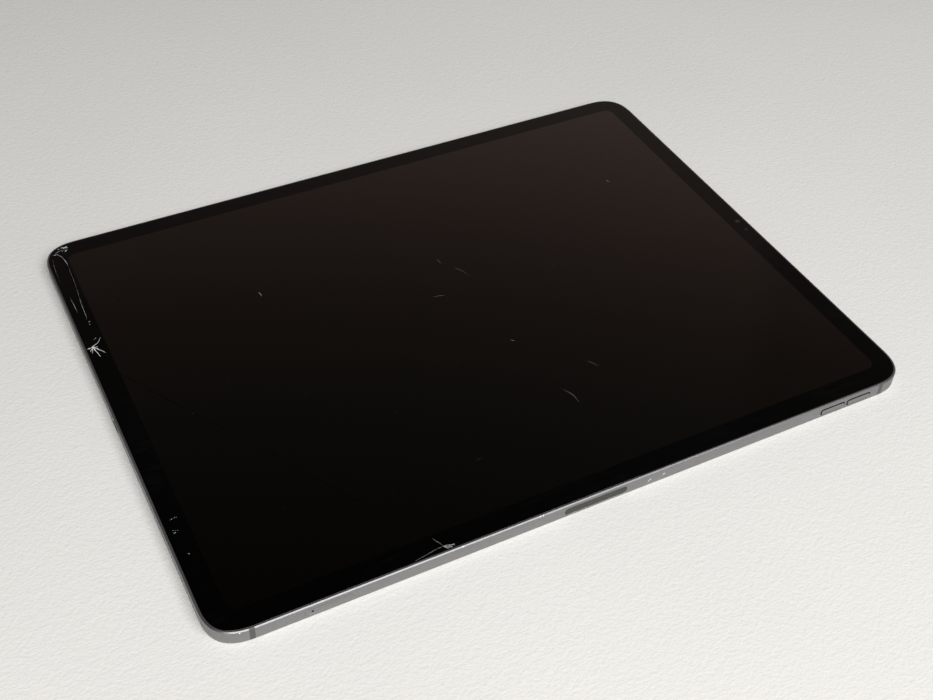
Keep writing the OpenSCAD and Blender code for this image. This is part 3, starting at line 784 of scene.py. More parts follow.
@dataclass(frozen=True)
class TableTop:
    """Pale, finely embossed table."""

    name: str = "table_top"
    colour: Colour = (0.705, 0.700, 0.680)

    def build(self) -> bpy.types.Material:
        """Make the material.

        Returns:
            Matt, slightly cloudy and embossed with rounded cells over a coarser grain.
        """
        graph = Graph(self.name)
        grain = graph.noise(1.1, 4, graph.stretched((0.7, 1.0, 1.0)), 0.62)
        cells = graph.add("ShaderNodeTexVoronoi", {"Vector": graph.place, "Scale": 1 / (2.4 * MM)},
                          feature="SMOOTH_F1").outputs[0]
        cloud = graph.noise(160.0, 3)
        graph.fill(graph.shader, {
            "Base Color": graph.blend(graph.remap(cloud, 0.3, 0.7), self.colour,
                                      tuple(c * 0.965 for c in self.colour)),
            "Roughness": 0.62,
            "Specular IOR Level": 0.25,
            "Normal": graph.relief(cells, 90.0, graph.relief(grain, 230.0)),
        })
        return graph.material


PLAIN_FINISHES = (
    Finish("band_polymer", (0.075, 0.075, 0.077), 0.55, depth=2.0),
    Finish("window_polymer", (0.050, 0.051, 0.045), 0.6, grain=0.15, depth=3.0, specular=0.3),
    Finish("copper_wire", (0.72, 0.36, 0.18), 0.3, 1.0, Pattern.ROLLED, grain=0.08),
    Finish("ferrite", (0.05, 0.045, 0.042), 0.8, depth=8.0),
    Finish("bezel_ink", (0.003, 0.003, 0.0035), 0.4),
    Finish("gasket_polymer", (0.045, 0.045, 0.047), 0.5, depth=2.0),
    Finish("display_layers", (0.02, 0.014, 0.012), 0.25, coat=0.5),
    Finish("diffuser_film", (0.86, 0.86, 0.84), 0.7, depth=1.0),
    Finish("sheet_steel", (0.55, 0.55, 0.56), 0.32, 1.0, Pattern.ROLLED, grain=0.1, depth=2.0),
    Finish("circuit_board", (0.018, 0.11, 0.05), 0.4, pattern=Pattern.TRACKS, depth=20.0, mottle=0.35),
    Finish("chip_package", (0.02, 0.02, 0.022), 0.55, depth=3.0),
    Finish("flex_circuit", (0.42, 0.19, 0.05), 0.35, pattern=Pattern.TRACKS, depth=8.0, mottle=0.25,
           coat=0.3),
    Finish("battery_pouch", (0.06, 0.06, 0.065), 0.45, pattern=Pattern.FOIL, depth=30.0),
    Finish("adhesive", (0.8, 0.78, 0.72), 0.6, depth=5.0),
    Finish("graphite_sheet", (0.05, 0.05, 0.055), 0.42, 0.6, Pattern.FOIL, depth=6.0),
    Finish("brass_standoff", (0.70, 0.52, 0.24), 0.28, 1.0, Pattern.ROLLED, grain=0.06),
    Finish("screw_steel", (0.26, 0.265, 0.28), 0.3, 1.0),
    Finish("speaker_polymer", (0.022, 0.022, 0.024), 0.6, depth=6.0),
    Finish("mesh_black", (0.012, 0.012, 0.012), 0.6, pattern=Pattern.WOVEN, grain=0.06, depth=30.0,
           mottle=0.5),
    Finish("sensor_body", (0.015, 0.015, 0.017), 0.35, depth=2.0),
    Finish("lens_glass", (0.86, 0.88, 0.92), 0.02, coat=0.0, transmission=1.0, depth=0.02, mottle=0.02),
    Finish("flash_polymer", (0.80, 0.74, 0.52), 0.3, coat=0.4, depth=1.0),
    Finish("gold_plate", (0.90, 0.62, 0.22), 0.25, 1.0),
    Finish("contact_metal", (0.50, 0.50, 0.51), 0.25, 1.0, grain=0.05, depth=0.8),
    Finish("nickel_magnet", (0.52, 0.51, 0.50), 0.25, 1.0),
    Finish("black_plastic", (0.022, 0.022, 0.023), 0.5),
    Finish("antenna_board", (0.16, 0.10, 0.045), 0.5, pattern=Pattern.TRACKS, depth=8.0, mottle=0.3),
    Finish("broken_glass", (0.72, 0.75, 0.75), 0.3, coat=1.0, grain=0.05, depth=12.0, mottle=0.3),
    Finish("closed_crack", (0.0008, 0.0008, 0.0008), 0.9, specular=0.0, depth=1.0),
    Finish("dust", (0.42, 0.41, 0.39), 0.9, grain=0.05, depth=8.0),
    Finish("bare_metal", (0.86, 0.86, 0.87), 0.3, 1.0, grain=0.05, depth=6.0),
)


class Finishes:
    """Every material of the tablet, by the name of its slot."""

    def __init__(self) -> None:
        """Build each finish once."""
        made = (Anodised(), PolishedCut(), BondedGlass(), *PLAIN_FINISHES)
        self.by_name = {finish.name: finish.build() for finish in made}

    def __getitem__(self, name: str) -> bpy.types.Material:
        """The material of a slot."""
        return self.by_name[name]

    def wear(self, piece: bpy.types.Object, slot: str, stands_for: Sequence[str] = (),
             crease: float = 32.0) -> None:
        """Finish a piece of the enclosure in the material of its own slot."""
        finish_piece(piece, self[slot], "enclosure", stands_for, crease)

    def dress_nodes(self) -> None:
        """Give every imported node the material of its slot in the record."""
        for part in frame["record"]["subparts"]:
            slots = frame["nodes"][part["node"]].data.materials
            slots.clear()
            slots.append(self[part["material_slot"]])
            LOG.info("%s takes the finish %s", part["node"], part["material_slot"])


# --------------------------------------------------------------------------- enclosure

@dataclass
class Outline:
    """The tablet's outline in plan, and the heights of its back and rim."""

    corner_reach: float = 16.0
    corner_power: float = 2.8

    def __post_init__(self) -> None:
        """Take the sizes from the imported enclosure."""
        low, high = node_box("rear_cover")
        self.length, self.width = (high - low)[:2]
        self.back, self.rim = low[2], high[2]
        self.loop = Loop.rounded(self.length, self.width, self.corner_reach, self.corner_power, 40)

    def origin(self, side: Side, along: float, height: float) -> tuple[float, float, float]:
        """Point on one of the four sides, or on the back.

        Args:
            side: The face.
            along: Place along it, as x on the long sides and y on the short ones.
            height: Height of the point.
        Returns:
            The point.
        """
        length, width = self.length / 2, self.width / 2
        return {Side.NEAR: (along, -width, height), Side.FAR: (along, width, height),
                Side.TOP: (length, along, height), Side.BOTTOM: (-length, along, height)}[side]


@dataclass
class Enclosure:
    """Machined shell with its polished chamfer and antenna bands."""

    outline: Outline
    finishes: Finishes
    floor: float = 0.8
    wall: float = 2.6
    ledge: float = 4.8
    rim_width: float = 0.4
    back_round: float = 0.4
    chamfer: float = 0.36
    chamfer_base: float = 0.38
    mouth: float = 0.05
    band_middle: float = 127.0
    band_width: float = 1.9
    band_post: float = 1.3
    band_inset: float = 6.0
    band_line: float = 1.5
    band_depth: float = 0.35
    sound_radius: float = 0.7
    sound_pitch: float = 2.7
    sound_count: int = 10
    speaker_place: float = 49.0
    hole_height: float = 2.45
    microphone_radius: float = 0.4
    microphone_place: float = 28.2
    far_microphone: float = 104.0
    key_clearance: float = 0.60
    key_flange: tuple[float, float] = (1.0, 0.8)
    key_corner: float = 1.24
    key_depth: float = 1.41
    key_room: float = 1.4
    key_room_margin: float = 0.35
    window_corner: float = 1.58
    window_depth: float = 1.5
    window_room: tuple[float, float] = (12.6, 1.6)
    tray_clearance: float = 0.14
    tray_corner: float = 1.31
    tray_depth: float = 1.0
    tray_room: tuple[float, float] = (-4.0, 7.0)
    tray_room_height: float = 0.55
    eject_radius: float = 0.65
    port_corner: float = 1.59
    sensor_room: float = 25.5
    sensor_room_depth: float = 0.9
    camera_radius: float = 7.3
    camera_microphone: float = 11.5
    camera_microphone_radius: float = 0.45
    flash_radius: float = 2.2
    contact_radius: float = 2.0
    contact_pitch: float = 5.0
    overlap: float = 0.01

    def height(self, above_back: float) -> float:
        """Height in the tablet's frame of a height above the back face."""
        return self.outline.back + above_back

    def outer_profile(self) -> list[tuple[float, float]]:
        """Profile of the round edge from the back face up to the side."""
        return arc(self.back_round, self.height(self.back_round), self.back_round, -90, 0, 8)

    def band_plan(self, sign: int) -> Loop:
        """Plan of one band's line on the back.

        Its outer edge follows the outline at the band's inset and its inner edge a line's width
        further in. Both turn the two corners, and its feet meet the posts in the long sides.

        Args:
            sign: 1 at the top of the tablet and -1 at the bottom.
        Returns:
            The plan as one loop.
        """
        loop, foot = self.outline.loop, self.outline.width / 2 - self.band_post
        edges = []
        for inset, start in ((self.band_inset, self.band_middle + self.band_width / 2),
                             (self.band_inset + self.band_line, self.band_middle - self.band_width / 2)):
            run = loop.points - inset * loop.normals
            run = run[run[:, 0] > start]
            run = run[np.argsort(run[:, 1])]
            edge = np.interp(start, *np.sort(np.abs(run[[0, 1]]), axis=0).T)
            edges.append(np.concatenate([[[start, -foot], [start, -edge]], run,
                                         [[start, edge], [start, foot]]]))
        points = np.concatenate([edges[0], edges[1][::-1]]) * (sign, 1)
        return Loop(points, np.zeros_like(points))

    def band_prisms(self) -> Surface:
        """Space of the bands: a line inside each end of the back, and four posts in the long sides.

        Returns:
            The prisms, each a plan swept straight up, as one surface.
        """
        parts = [self.band_plan(sign).sweep([(0, self.outline.back - 1), (0, self.height(self.band_depth))])
                 for sign in (-1, 1)]
        half = self.band_width / 2
        for sx in (-1, 1):
            for sy in (-1, 1):
                x, y = sx * self.band_middle, sy * self.outline.width / 2
                inner = y - sy * self.band_post
                parts.append(box((x - half, min(inner, y + sy), self.outline.back - 1),
                                 (x + half, max(inner, y + sy), self.outline.rim + 1)))
        return Surface.joined(parts)

    def face_cut(self, side: Side, node: str, grow: tuple[float, float], corner: float, depth: float,
                 mouth: float) -> Surface:
        """Pocket with the outline of a node's face, grown all round, in its side.

        Args:
            side: The side that the face lies in.
            node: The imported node.
            grow: How much longer and higher than the face the pocket is.
            corner: Radius of its corners.
            depth: Its depth.
            mouth: Width of the chamfer at its mouth.
        Returns:
            The cutter, in its place.
        """
        low, high = node_box(node)
        size, middle = high - low, (low + high) / 2
        run = 0 if side is Side.NEAR else 1
        loop = Loop.rounded(size[run] + grow[0], size[2] + grow[1], corner)
        return side.put(groove(loop, mouth, depth), self.outline.origin(side, middle[run], middle[2]))

    def key_cuts(self) -> list[Surface]:
        """Slot of each button, and the room behind it for the button's flange.

        Returns:
            The cutters.
        """
        cuts = []
        grow = (self.key_clearance - self.key_flange[0], self.key_clearance - self.key_flange[1])
        for side, run, node in ((Side.NEAR, 0, "volume_up_button"), (Side.NEAR, 0, "volume_down_button"),
                                (Side.TOP, 1, "power_button")):
            cuts.append(self.face_cut(side, node, grow, self.key_corner, self.key_depth, 0.02))
            low, high = node_box(node)
            middle, reach = (low + high) / 2, (high - low)[run] / 2 + self.key_room_margin
            room = box((-reach, self.height(self.floor) - middle[2], -self.wall - self.overlap),
                       (reach, self.height(self.ledge) - middle[2], -self.key_room))
            cuts.append(side.put(room, self.outline.origin(side, middle[run], middle[2])))
        return cuts

    def near_cuts(self) -> list[Surface]:
        """Openings of the stylus window, the card tray and the eject pin, and the rooms behind them.

        Returns:
            The cutters.
        """
        near, origin = Side.NEAR, self.outline.origin
        length, half = self.window_room
        window, tray = node_middle("charging_window"), node_middle("sim_tray")
        at_window, at_tray = origin(near, window[0], window[2]), origin(near, tray[0], tray[2])
        behind = box((-length, -half, -self.wall - self.overlap),
                     (length, half, self.overlap - self.window_depth))
        room = box((self.tray_room[0], -self.tray_room_height, -self.wall - 1),
                   (self.tray_room[1], self.tray_room_height, -0.9 * self.tray_depth))
        way = Loop.circle(self.eject_radius, 24).sweep([(0, -self.wall - 1), (0, -0.9 * self.tray_depth)])
        lever = node_box("eject_lever")[0][0] + self.eject_radius
        return [self.face_cut(near, "charging_window", (0.0, 0.0), self.window_corner, self.window_depth,
                              self.mouth),
                near.put(behind, at_window),
                self.face_cut(near, "sim_tray", (self.tray_clearance, self.tray_clearance), self.tray_corner,
                              self.tray_depth, 0.015),
                near.put(room, at_tray),
                near.put(way, origin(near, lever, tray[2]))]

    def sound_cuts(self) -> list[Surface]:
        """Holes of the loudspeakers in both ends, and of the microphones.

        Returns:
            The cutters.
        """
        through, level = self.wall + 1, self.height(self.hole_height)
        sound = groove(Loop.circle(self.sound_radius, 24), 0.08, through)
        small = groove(Loop.circle(self.microphone_radius, 20), 0.05, through)
        row = (np.arange(self.sound_count) - (self.sound_count - 1) / 2) * self.sound_pitch
        cuts = [side.put(sound, self.outline.origin(side, middle + place, level))
                for side in (Side.TOP, Side.BOTTOM)
                for middle in (-self.speaker_place, self.speaker_place) for place in row]
        cuts += [Side.TOP.put(small, self.outline.origin(Side.TOP, y, level))
                 for y in (-self.microphone_place, self.microphone_place)]
        return cuts + [Side.FAR.put(small, self.outline.origin(Side.FAR, self.far_microphone, level))]

    def side_cuts(self) -> list[Surface]:
        """Slots and holes of the four sides, and the room behind each.

        Returns:
            The cutters.
        """
        port_low, port_high = node_box("port_shell")
        port, size = (port_low + port_high) / 2, port_high - port_low
        mouth = groove(Loop.rounded(size[1], size[2], self.port_corner, 2, 12), 0.12, self.wall + 1)
        inside = self.outline.length / 2 - self.wall
        sensors = box((inside - self.overlap, -self.sensor_room, self.height(self.floor)),
                      (inside + self.sensor_room_depth, self.sensor_room, self.height(self.ledge) + 1))
        return [*self.key_cuts(), *self.near_cuts(),
                Side.BOTTOM.put(mouth, self.outline.origin(Side.BOTTOM, port[1], port[2])),
                *self.sound_cuts(), sensors]

    def back_cuts(self) -> list[Surface]:
        """Holes of the back: camera collar, its microphone, the flash and the three contacts.

        Returns:
            The cutters.
        """
        camera, flash = node_middle("camera_ring"), node_middle("flash_lens")
        contacts, pitch = node_middle("accessory_contacts"), self.contact_pitch
        holes = [(camera, self.camera_radius, 48, 0.0),
                 (camera - (self.camera_microphone, 0, 0), self.camera_microphone_radius, 20, 0.05),
                 (flash, self.flash_radius, 40, 0.04)]
        holes += [(contacts + (0, step, 0), self.contact_radius, 40, 0.03) for step in (-pitch, 0, pitch)]
        return [Side.BACK.put(groove(Loop.circle(radius, steps), mouth, self.floor + 0.5, 0.2),
                              (place[0], place[1], self.outline.back))
                for place, radius, steps, mouth in holes]

    def build(self) -> None:
        """Make the shell, the chamfer ring and the bands."""
        outline, loop = self.outline, self.outline.loop
        seam, ledge = outline.rim - self.chamfer_base, self.height(self.ledge)
        bands = self.band_prisms()
        shell = mesh_of("enclosure_shell", loop.sweep(self.outer_profile() + [
            (0, seam), (self.rim_width, seam), (self.rim_width, ledge), (self.wall, ledge),
            (self.wall, self.height(self.floor))]))
        carve(shell, Surface.joined([bands, *self.side_cuts(), *self.back_cuts()]))
        self.finishes.wear(shell, "anodised_aluminium", ["rear_cover"])

        rim = mesh_of("polished_chamfer", loop.sweep([
            (0, seam), (0, outline.rim - self.chamfer), (self.chamfer, outline.rim),
            (self.rim_width, outline.rim), (self.rim_width, seam)], ring=True))
        carve(rim, bands)
        self.finishes.wear(rim, "polished_rim")

        posts = mesh_of("antenna_bands", loop.sweep(self.outer_profile() + [
            (0, outline.rim - self.chamfer), (self.chamfer, outline.rim),
            (self.rim_width, outline.rim), (self.rim_width, ledge)]))
        carve(posts, bands, "INTERSECT")
        self.finishes.wear(posts, "band_polymer", ["antenna_bands"])


@dataclass
class DisplayGlass:
    """Cover glass, the lip that seals it and the sensor windows in its border."""

    outline: Outline
    finishes: Finishes
    inset: float = 0.85
    edge_round: float = 0.14
    settle: float = 0.012
    lip_round: float = 0.06
    sensor_line: float = 136.2

    def __post_init__(self) -> None:
        """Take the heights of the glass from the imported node."""
        low, high = node_box("cover_glass")
        self.bottom, self.top = low[2], high[2] - self.settle

    def build(self) -> None:
        """Make the glass slab, the lip and the sensor windows."""
        loop, rim = self.outline.loop, self.outline.rim
        edge = arc(self.inset + self.edge_round, self.top - self.edge_round, self.edge_round, 0, 90, 5)
        slab = mesh_of("glass_slab", loop.sweep([(self.inset, self.bottom), *edge]))
        self.finishes.wear(slab, "cover_glass", ["cover_glass"], 60)

        low = node_box("display_gasket")[0]
        outer = arc(0.4 + self.lip_round, rim - self.lip_round, self.lip_round, 0, 90, 3)
        inner = arc(self.inset - self.lip_round, rim - self.lip_round, self.lip_round, 90, 180, 3)
        lip = mesh_of("sealing_lip", loop.sweep([
            (0.4, low[2]), *outer, *inner, (self.inset, self.bottom - 0.1),
            (self.inset + 1.6, self.bottom - 0.1), (self.inset + 1.6, low[2])], ring=True))
        self.finishes.wear(lip, "gasket_polymer", ["display_gasket"], 50)

        for name, node, radius, pupil in (("front_camera_window", "front_camera", 1.2, 0.75),
                                          ("proximity_window", "proximity_sensor", 0.75, 0.45)):
            middle = node_middle(node)
            disc = lathe([(radius * 0.02, self.top - 0.05), (radius, self.top - 0.05),
                          (radius, self.top + 0.002), (radius * 0.9, self.top + 0.005),
                          (radius * 0.02, self.top + 0.006)], 40).moved((self.sensor_line, middle[1], 0))
            lens = LensFinish(name, (self.sensor_line, middle[1], 0), pupil, radius,
                              (0.20, 0.17, 0.24)).build()
            finish_piece(mesh_of(name, disc), lens, "enclosure", (), 60)


@dataclass
class GlassDamage:
    """Cracks, chips, scratches and dust of the cover glass."""

    finishes: Finishes
    level: float
    crown: float = 0.008

    def line(self, path: Any, width: float, taper: float = 0.2) -> Surface:
        """One crack or scratch along a path."""
        return ribbon(path, width, self.level, self.crown, taper)

    def fan(self, centre: tuple[float, float], tips: Sequence[tuple[float, float]], width: float,
            draw: np.random.Generator) -> list[Surface]:
        """Cracks that leave one point, each bowed a little.

        Args:
            centre: The point of impact.
            tips: Far end of each crack.
            width: Width of the widest.
            draw: Seeded source of the kinks.
        Returns:
            One ridge for each crack.
        """
        return [self.line(wander(centre, tip, draw.normal(0, 0.12), 0.05, draw),
                          width * draw.uniform(0.5, 1.0)) for tip in tips]

    def cloud(self, middle: tuple[float, float], spread: tuple[float, float], count: int, size: float,
              draw: np.random.Generator) -> Surface:
        """Crushed glass: flakes scattered round a point.

        Args:
            middle: Middle of the patch.
            spread: Standard deviation along x and y.
            count: Number of flakes.
            size: Mean radius of a flake.
            draw: Seeded source of the places and sizes.
        Returns:
            The flakes.
        """
        spot = draw.normal(0, 1, (count, 2)) * spread + middle
        places = np.hstack([spot, np.full((count, 1), self.level)])
        return flakes(places, size * draw.uniform(0.4, 1.5, count), self.crown, draw)

    def build(self) -> None:
        """Make the bright cracks, the dark crack, the scratches and the dust."""
        draw = np.random.default_rng(17)
        cracks: list[Surface] = []
        # The star on the left border
        cracks += self.fan((-136.7, 40.3), [(-139.1, 39.7), (-134.9, 38.2), (-133.1, 35.0), (-135.4, 33.5),
                                            (-137.9, 36.6), (-138.3, 37.9), (-136.1, 36.9)], 0.24, draw)
        cracks.append(self.line([(-138.6, 39.6), (-137.5, 40.0), (-136.1, 40.8), (-134.6, 41.5),
                                 (-133.6, 42.7), (-132.6, 44.3)], 0.17))
        cracks.append(self.cloud((-137.0, 39.8), (0.8, 0.5), 20, 0.18, draw))
        cracks.append(self.cloud((-134.3, 44.6), (0.3, 0.4), 4, 0.12, draw))
        # The corner and the lines that run down the border from it
        cracks.append(self.cloud((-130.8, 104.3), (1.0, 0.22), 20, 0.21, draw))
        cracks.append(self.cloud((-130.8, 101.9), (0.8, 0.2), 8, 0.16, draw))
        cracks.append(self.cloud((-135.4, 101.2), (1.0, 0.25), 9, 0.12, draw))
        corner = [(-136.8, 101.3), (-134.6, 100.8), (-133.4, 98.7), (-132.8, 95.5), (-132.6, 92.2),
                  (-132.8, 86.9), (-133.0, 80.0), (-133.5, 71.9), (-134.1, 65.4), (-134.2, 62.1),
                  (-134.2, 59.1), (-134.4, 56.9)]
        cracks += [self.line(corner[:4], 0.07), self.line(corner[2:5], 0.14), self.line(corner[4:9], 0.025),
                   self.line(corner[7:], 0.07)]
        cracks.append(self.line([(-137.1, 72.2), (-136.8, 67.3), (-136.8, 64.7), (-136.6, 62.2)], 0.06))
        cracks.append(self.line([(-137.3, 99.3), (-138.0, 91.6), (-138.3, 82.8)], 0.03))
        cracks.append(self.line([(-129.8, 103.5), (-131.6, 102.8), (-134.0, 102.6), (-135.7, 101.9)], 0.08))
        cracks += [self.cloud(spot, (0.25, 0.25), 3, 0.10, draw) for spot in ((-133.9, 55.0), (-134.2, 53.2))]
        # The crack at the near edge
        near = (-58.3, -104.4)
        cracks += self.fan(near, [(-54.4, -105.4), (-57.3, -106.0), (-55.8, -105.9)], 0.11, draw)
        cracks += [self.line([near, (-58.9, -102.6), (-59.7, -101.2), (-60.3, -99.8)], 0.035),
                   self.line([near, (-61.6, -104.6), (-64.1, -105.1), (-66.7, -105.5),
                              (-69.2, -105.9)], 0.03)]
        cracks.append(self.cloud((-56.4, -105.5), (1.0, 0.25), 16, 0.11, draw))
        # Chips on the border
        for spot, count in (((-136.0, -54.1), 7), ((-135.0, -54.1), 4), ((-136.6, -59.4), 4),
                            ((-136.6, -60.4), 4), ((-135.6, -70.6), 4)):
            cracks.append(self.cloud(spot, (0.3, 0.24), count, 0.08, draw))
        finish_piece(mesh_of("glass_cracks", Surface.joined(cracks)), self.finishes["broken_glass"],
                     "enclosure", (), 20)

        dark = [self.line(path, 0.16, 0.4) for path in (
            [(-134.5, 27.7), (-130.9, 20.5), (-126.5, 12.7), (-115.7, -5.7), (-102.6, -27.7)],
            [(-102.6, -27.7), (-88.6, -51.6), (-79.0, -68.9), (-71.9, -82.5), (-59.5, -104.3)])]
        finish_piece(mesh_of("closed_crack", Surface.joined(dark)), self.finishes["closed_crack"],
                     "enclosure", (), 20)

        marks = [self.line(wander(start, end, bow, 0.05, draw), width) for start, end, bow, width in (
            ((15.2, -57.4), (17.2, -65.9), 0.8, 0.04), ((31.6, -48.3), (33.7, -52.3), 0.3, 0.035),
            ((-5.5, 10.7), (-1.2, 9.3), 0.4, 0.04), ((5.9, 31.2), (6.5, 28.7), 0.2, 0.05),
            ((10.4, 23.4), (13.6, 16.2), 0.4, 0.025), ((63.9, -1.7), (64.3, -2.5), 0.1, 0.08),
            ((-68.3, 43.2), (-68.0, 40.6), 0.2, 0.13), ((10.5, -25.0), (11.4, -26.2), 0.1, 0.10),
            ((99.5, 49.5), (100.8, 47.9), 0.1, 0.11))]
        count = 90
        spots = np.hstack([draw.uniform(-131, 131, (count, 1)), draw.uniform(-98, 98, (count, 1)),
                           np.full((count, 1), self.level)])
        marks.append(flakes(spots, draw.uniform(0.03, 0.08, count), self.crown, draw))
        finish_piece(mesh_of("scratches_and_dust", Surface.joined(marks)), self.finishes["dust"],
                     "enclosure", (), 20)


@dataclass
class EdgeWear:
    """Knocks that show bare metal on the rim and the near side."""

    outline: Outline
    finishes: Finishes
    rise: float = 0.02

    def build(self) -> None:
        """Make the bare flakes: the large ones by place, and small ones scattered by a seeded draw."""
        draw = np.random.default_rng(5)
        side = np.array([(22.3, 3.85, 0.60), (21.7, 3.4, 0.42), (28.1, 3.95, 0.58), (-35.3, 4.0, 0.20),
                         (-23.8, 3.6, 0.22), (-112.7, 5.4, 0.18), (28.4, 4.35, 0.3), (-114.1, 4.7, 0.1)])
        level = self.rise * 0.3
        places = np.column_stack([side[:, 0], side[:, 1], np.full(len(side), level)])
        parts = [Side.NEAR.put(flakes(places, side[:, 2] * 0.75, self.rise, draw, 1.25),
                               self.outline.origin(Side.NEAR, 0, 0))]
        count = 26
        dots = np.column_stack([draw.uniform(-122, 122, count), draw.uniform(2.0, 6.2, count),
                                np.full(count, level)])
        parts.append(Side.NEAR.put(flakes(dots, draw.uniform(0.03, 0.10, count), self.rise, draw),
                                   self.outline.origin(Side.NEAR, 0, 0)))
        near = np.array([(-21.5, 0.26), (-20.0, 0.34), (-22.6, 0.2), (-52.4, 0.22), (-54.5, 0.14),
                         (-50.8, 0.12), (-131.0, 0.2), (60.4, 0.1)])
        rim = np.column_stack([near[:, 0], np.full(len(near), -self.outline.width / 2 + 0.16),
                               np.full(len(near), self.outline.rim - 0.16)])
        parts.append(flakes(rim, near[:, 1], 0.12, draw, 1.6))
        finish_piece(mesh_of("bare_knocks", Surface.joined(parts)), self.finishes["bare_metal"],
                     "enclosure", (), 20)


@dataclass
class SideControls:
    """Three side buttons and the charging window."""

    outline: Outline
    finishes: Finishes
    proud: float = 0.2
    edge: float = 0.1
    ease: float = 0.2
    flange_out: float = 1.45
    flange_in: float = 1.85
    stem_in: float = 2.85
    stem_radius: float = 0.75

    def button(self, node: str, side: Side) -> None:
        """Make one button: a cap with a rounded edge, the flange behind it and its stem.

        Args:
            node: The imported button, which is also the name of its body.
            side: The side that it stands in.
        """
        low, high = node_box(node)
        size, middle = high - low, (low + high) / 2
        along = 0 if side is Side.NEAR else 1
        length, height = size[along] - 1, size[2] - 0.8
        cap = Loop.rounded(length - self.ease, height - self.ease, height / 2 - 0.28, 2.2, 14).sweep(
            [(0, -self.flange_out), *arc(self.edge, self.proud - self.edge, self.edge, 0, 90, 5)])
        flange = Loop.rounded(length + 1, height + 0.8, height / 2, 2, 10).sweep(
            [(0, -self.flange_in), (0, -self.flange_out)])
        stem = Loop.circle(self.stem_radius, 24).sweep([(0, -self.stem_in), (0, -self.flange_in)])
        whole = side.put(Surface.joined([cap, flange, stem]),
                         self.outline.origin(side, middle[along], middle[2]))
        face = (self.outline.width if side is Side.NEAR else self.outline.length) / 2 + self.proud
        name = node.replace("_button", "_key")
        metal = KeyMetal(name, outward=tuple(float(c) for c in side.value[2]), face=face).build()
        finish_piece(mesh_of(name, whole), metal, node, [node])

    def window(self) -> None:
        """Make the charging window: a flush pad with a slightly rounded edge."""
        low, high = node_box("charging_window")
        size, middle = high - low, (low + high) / 2
        pad = Loop.rounded(size[0], size[2], 1.58, 2, 16).sweep(
            [(0.01, -size[1]), *arc(0.06, -0.055, 0.05, 0, 90, 3)])
        put = Side.NEAR.put(pad, self.outline.origin(Side.NEAR, middle[0], middle[2]))
        self.finishes.wear(mesh_of("charging_pad", put), "window_polymer", ["charging_window"])

    def build(self) -> None:
        """Make the three buttons and the window."""
        self.button("volume_up_button", Side.NEAR)
        self.button("volume_down_button", Side.NEAR)
        self.button("power_button", Side.TOP)
        self.window()


@dataclass
class RearFittings:
    """Camera ring, its glass and optics, the flash lens and the keyboard contacts."""

    outline: Outline
    finishes: Finishes

    def on_back(self, name: str, surface: Surface, node: str, slot: str, stands_for: Sequence[str] = (),
                material: bpy.types.Material | None = None) -> None:
        """Place a turned part on the back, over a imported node's middle.

        Args:
            name: Name of the piece.
            surface: Its surface, with the height out of the back face.
            node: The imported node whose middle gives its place.
            slot: The record's slot.
            stands_for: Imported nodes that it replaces.
            material: Its material, or else the slot's own.
        """
        middle = node_middle(node)
        put = Side.BACK.put(surface, (middle[0], middle[1], self.outline.back))
        finish_piece(mesh_of(name, put), material or self.finishes[slot], "enclosure", stands_for)

    def build(self) -> None:
        """Make the parts that show on the back."""
        proud = self.outline.back
        ring = lathe([(5.3, -0.8), (7.3, -0.8), (7.3, 0.0), (8.3, 0.0), (8.3, proud - 0.28),
                      (8.22, proud - 0.12), (8.05, proud - 0.02), (7.9, proud), (6.48, proud),
                      (6.36, proud - 0.04), (6.3, proud - 0.12), (6.3, proud - 0.7), (5.3, proud - 0.7)],
                     96, True)
        self.on_back("camera_collar", ring, "camera_ring", "anodised_aluminium", ["camera_ring"])
        glass = lathe([(0.02, proud - 0.69), (6.28, proud - 0.69), (6.28, proud - 0.16), (6.22, proud - 0.11),
                       (0.02, proud - 0.10)], 96)
        self.on_back("camera_glass", glass, "camera_lens", "lens_glass", ["camera_lens"])
        angle = np.linspace(0, math.pi / 2, 9)
        dome = [(max(0.02, 2.7 * float(np.cos(a))), -0.1 + 0.5 * float(np.sin(a))) for a in angle]
        optics = lathe([(0.02, -0.14), (2.7, -0.14), *dome], 64)
        middle = node_middle("camera_ring")
        lens = LensFinish("camera_optics", (middle[0], middle[1], 0), 1.7, 2.7, (0.05, 0.03, 0.12)).build()
        self.on_back("camera_optics", optics, "camera_ring", "sensor_body", material=lens)
        radius = np.linspace(2.17, 0.02, 40)
        ridges = [(float(r), float(-0.03 - 0.025 * (1 + np.sin(r * 18)))) for r in radius]
        self.on_back("flash_window", lathe([(0.02, -0.8), (2.17, -0.8), *ridges], 64), "flash_lens",
                     "flash_polymer", ["flash_lens"])
        pads = []
        for step in (-5.0, 0.0, 5.0):
            pad = lathe([(0.02, -1.3), (1.38, -1.3), (1.38, -0.14), (1.3, -0.07), (0.9, -0.05),
                         (0.02, -0.05)], 40)
            pads.append(pad.moved((0, step, 0)))
        self.on_back("contact_pads", Surface.joined(pads), "accessory_contacts", "contact_metal",
                     ["accessory_contacts"])


# --------------------------------------------------------------------------- studio

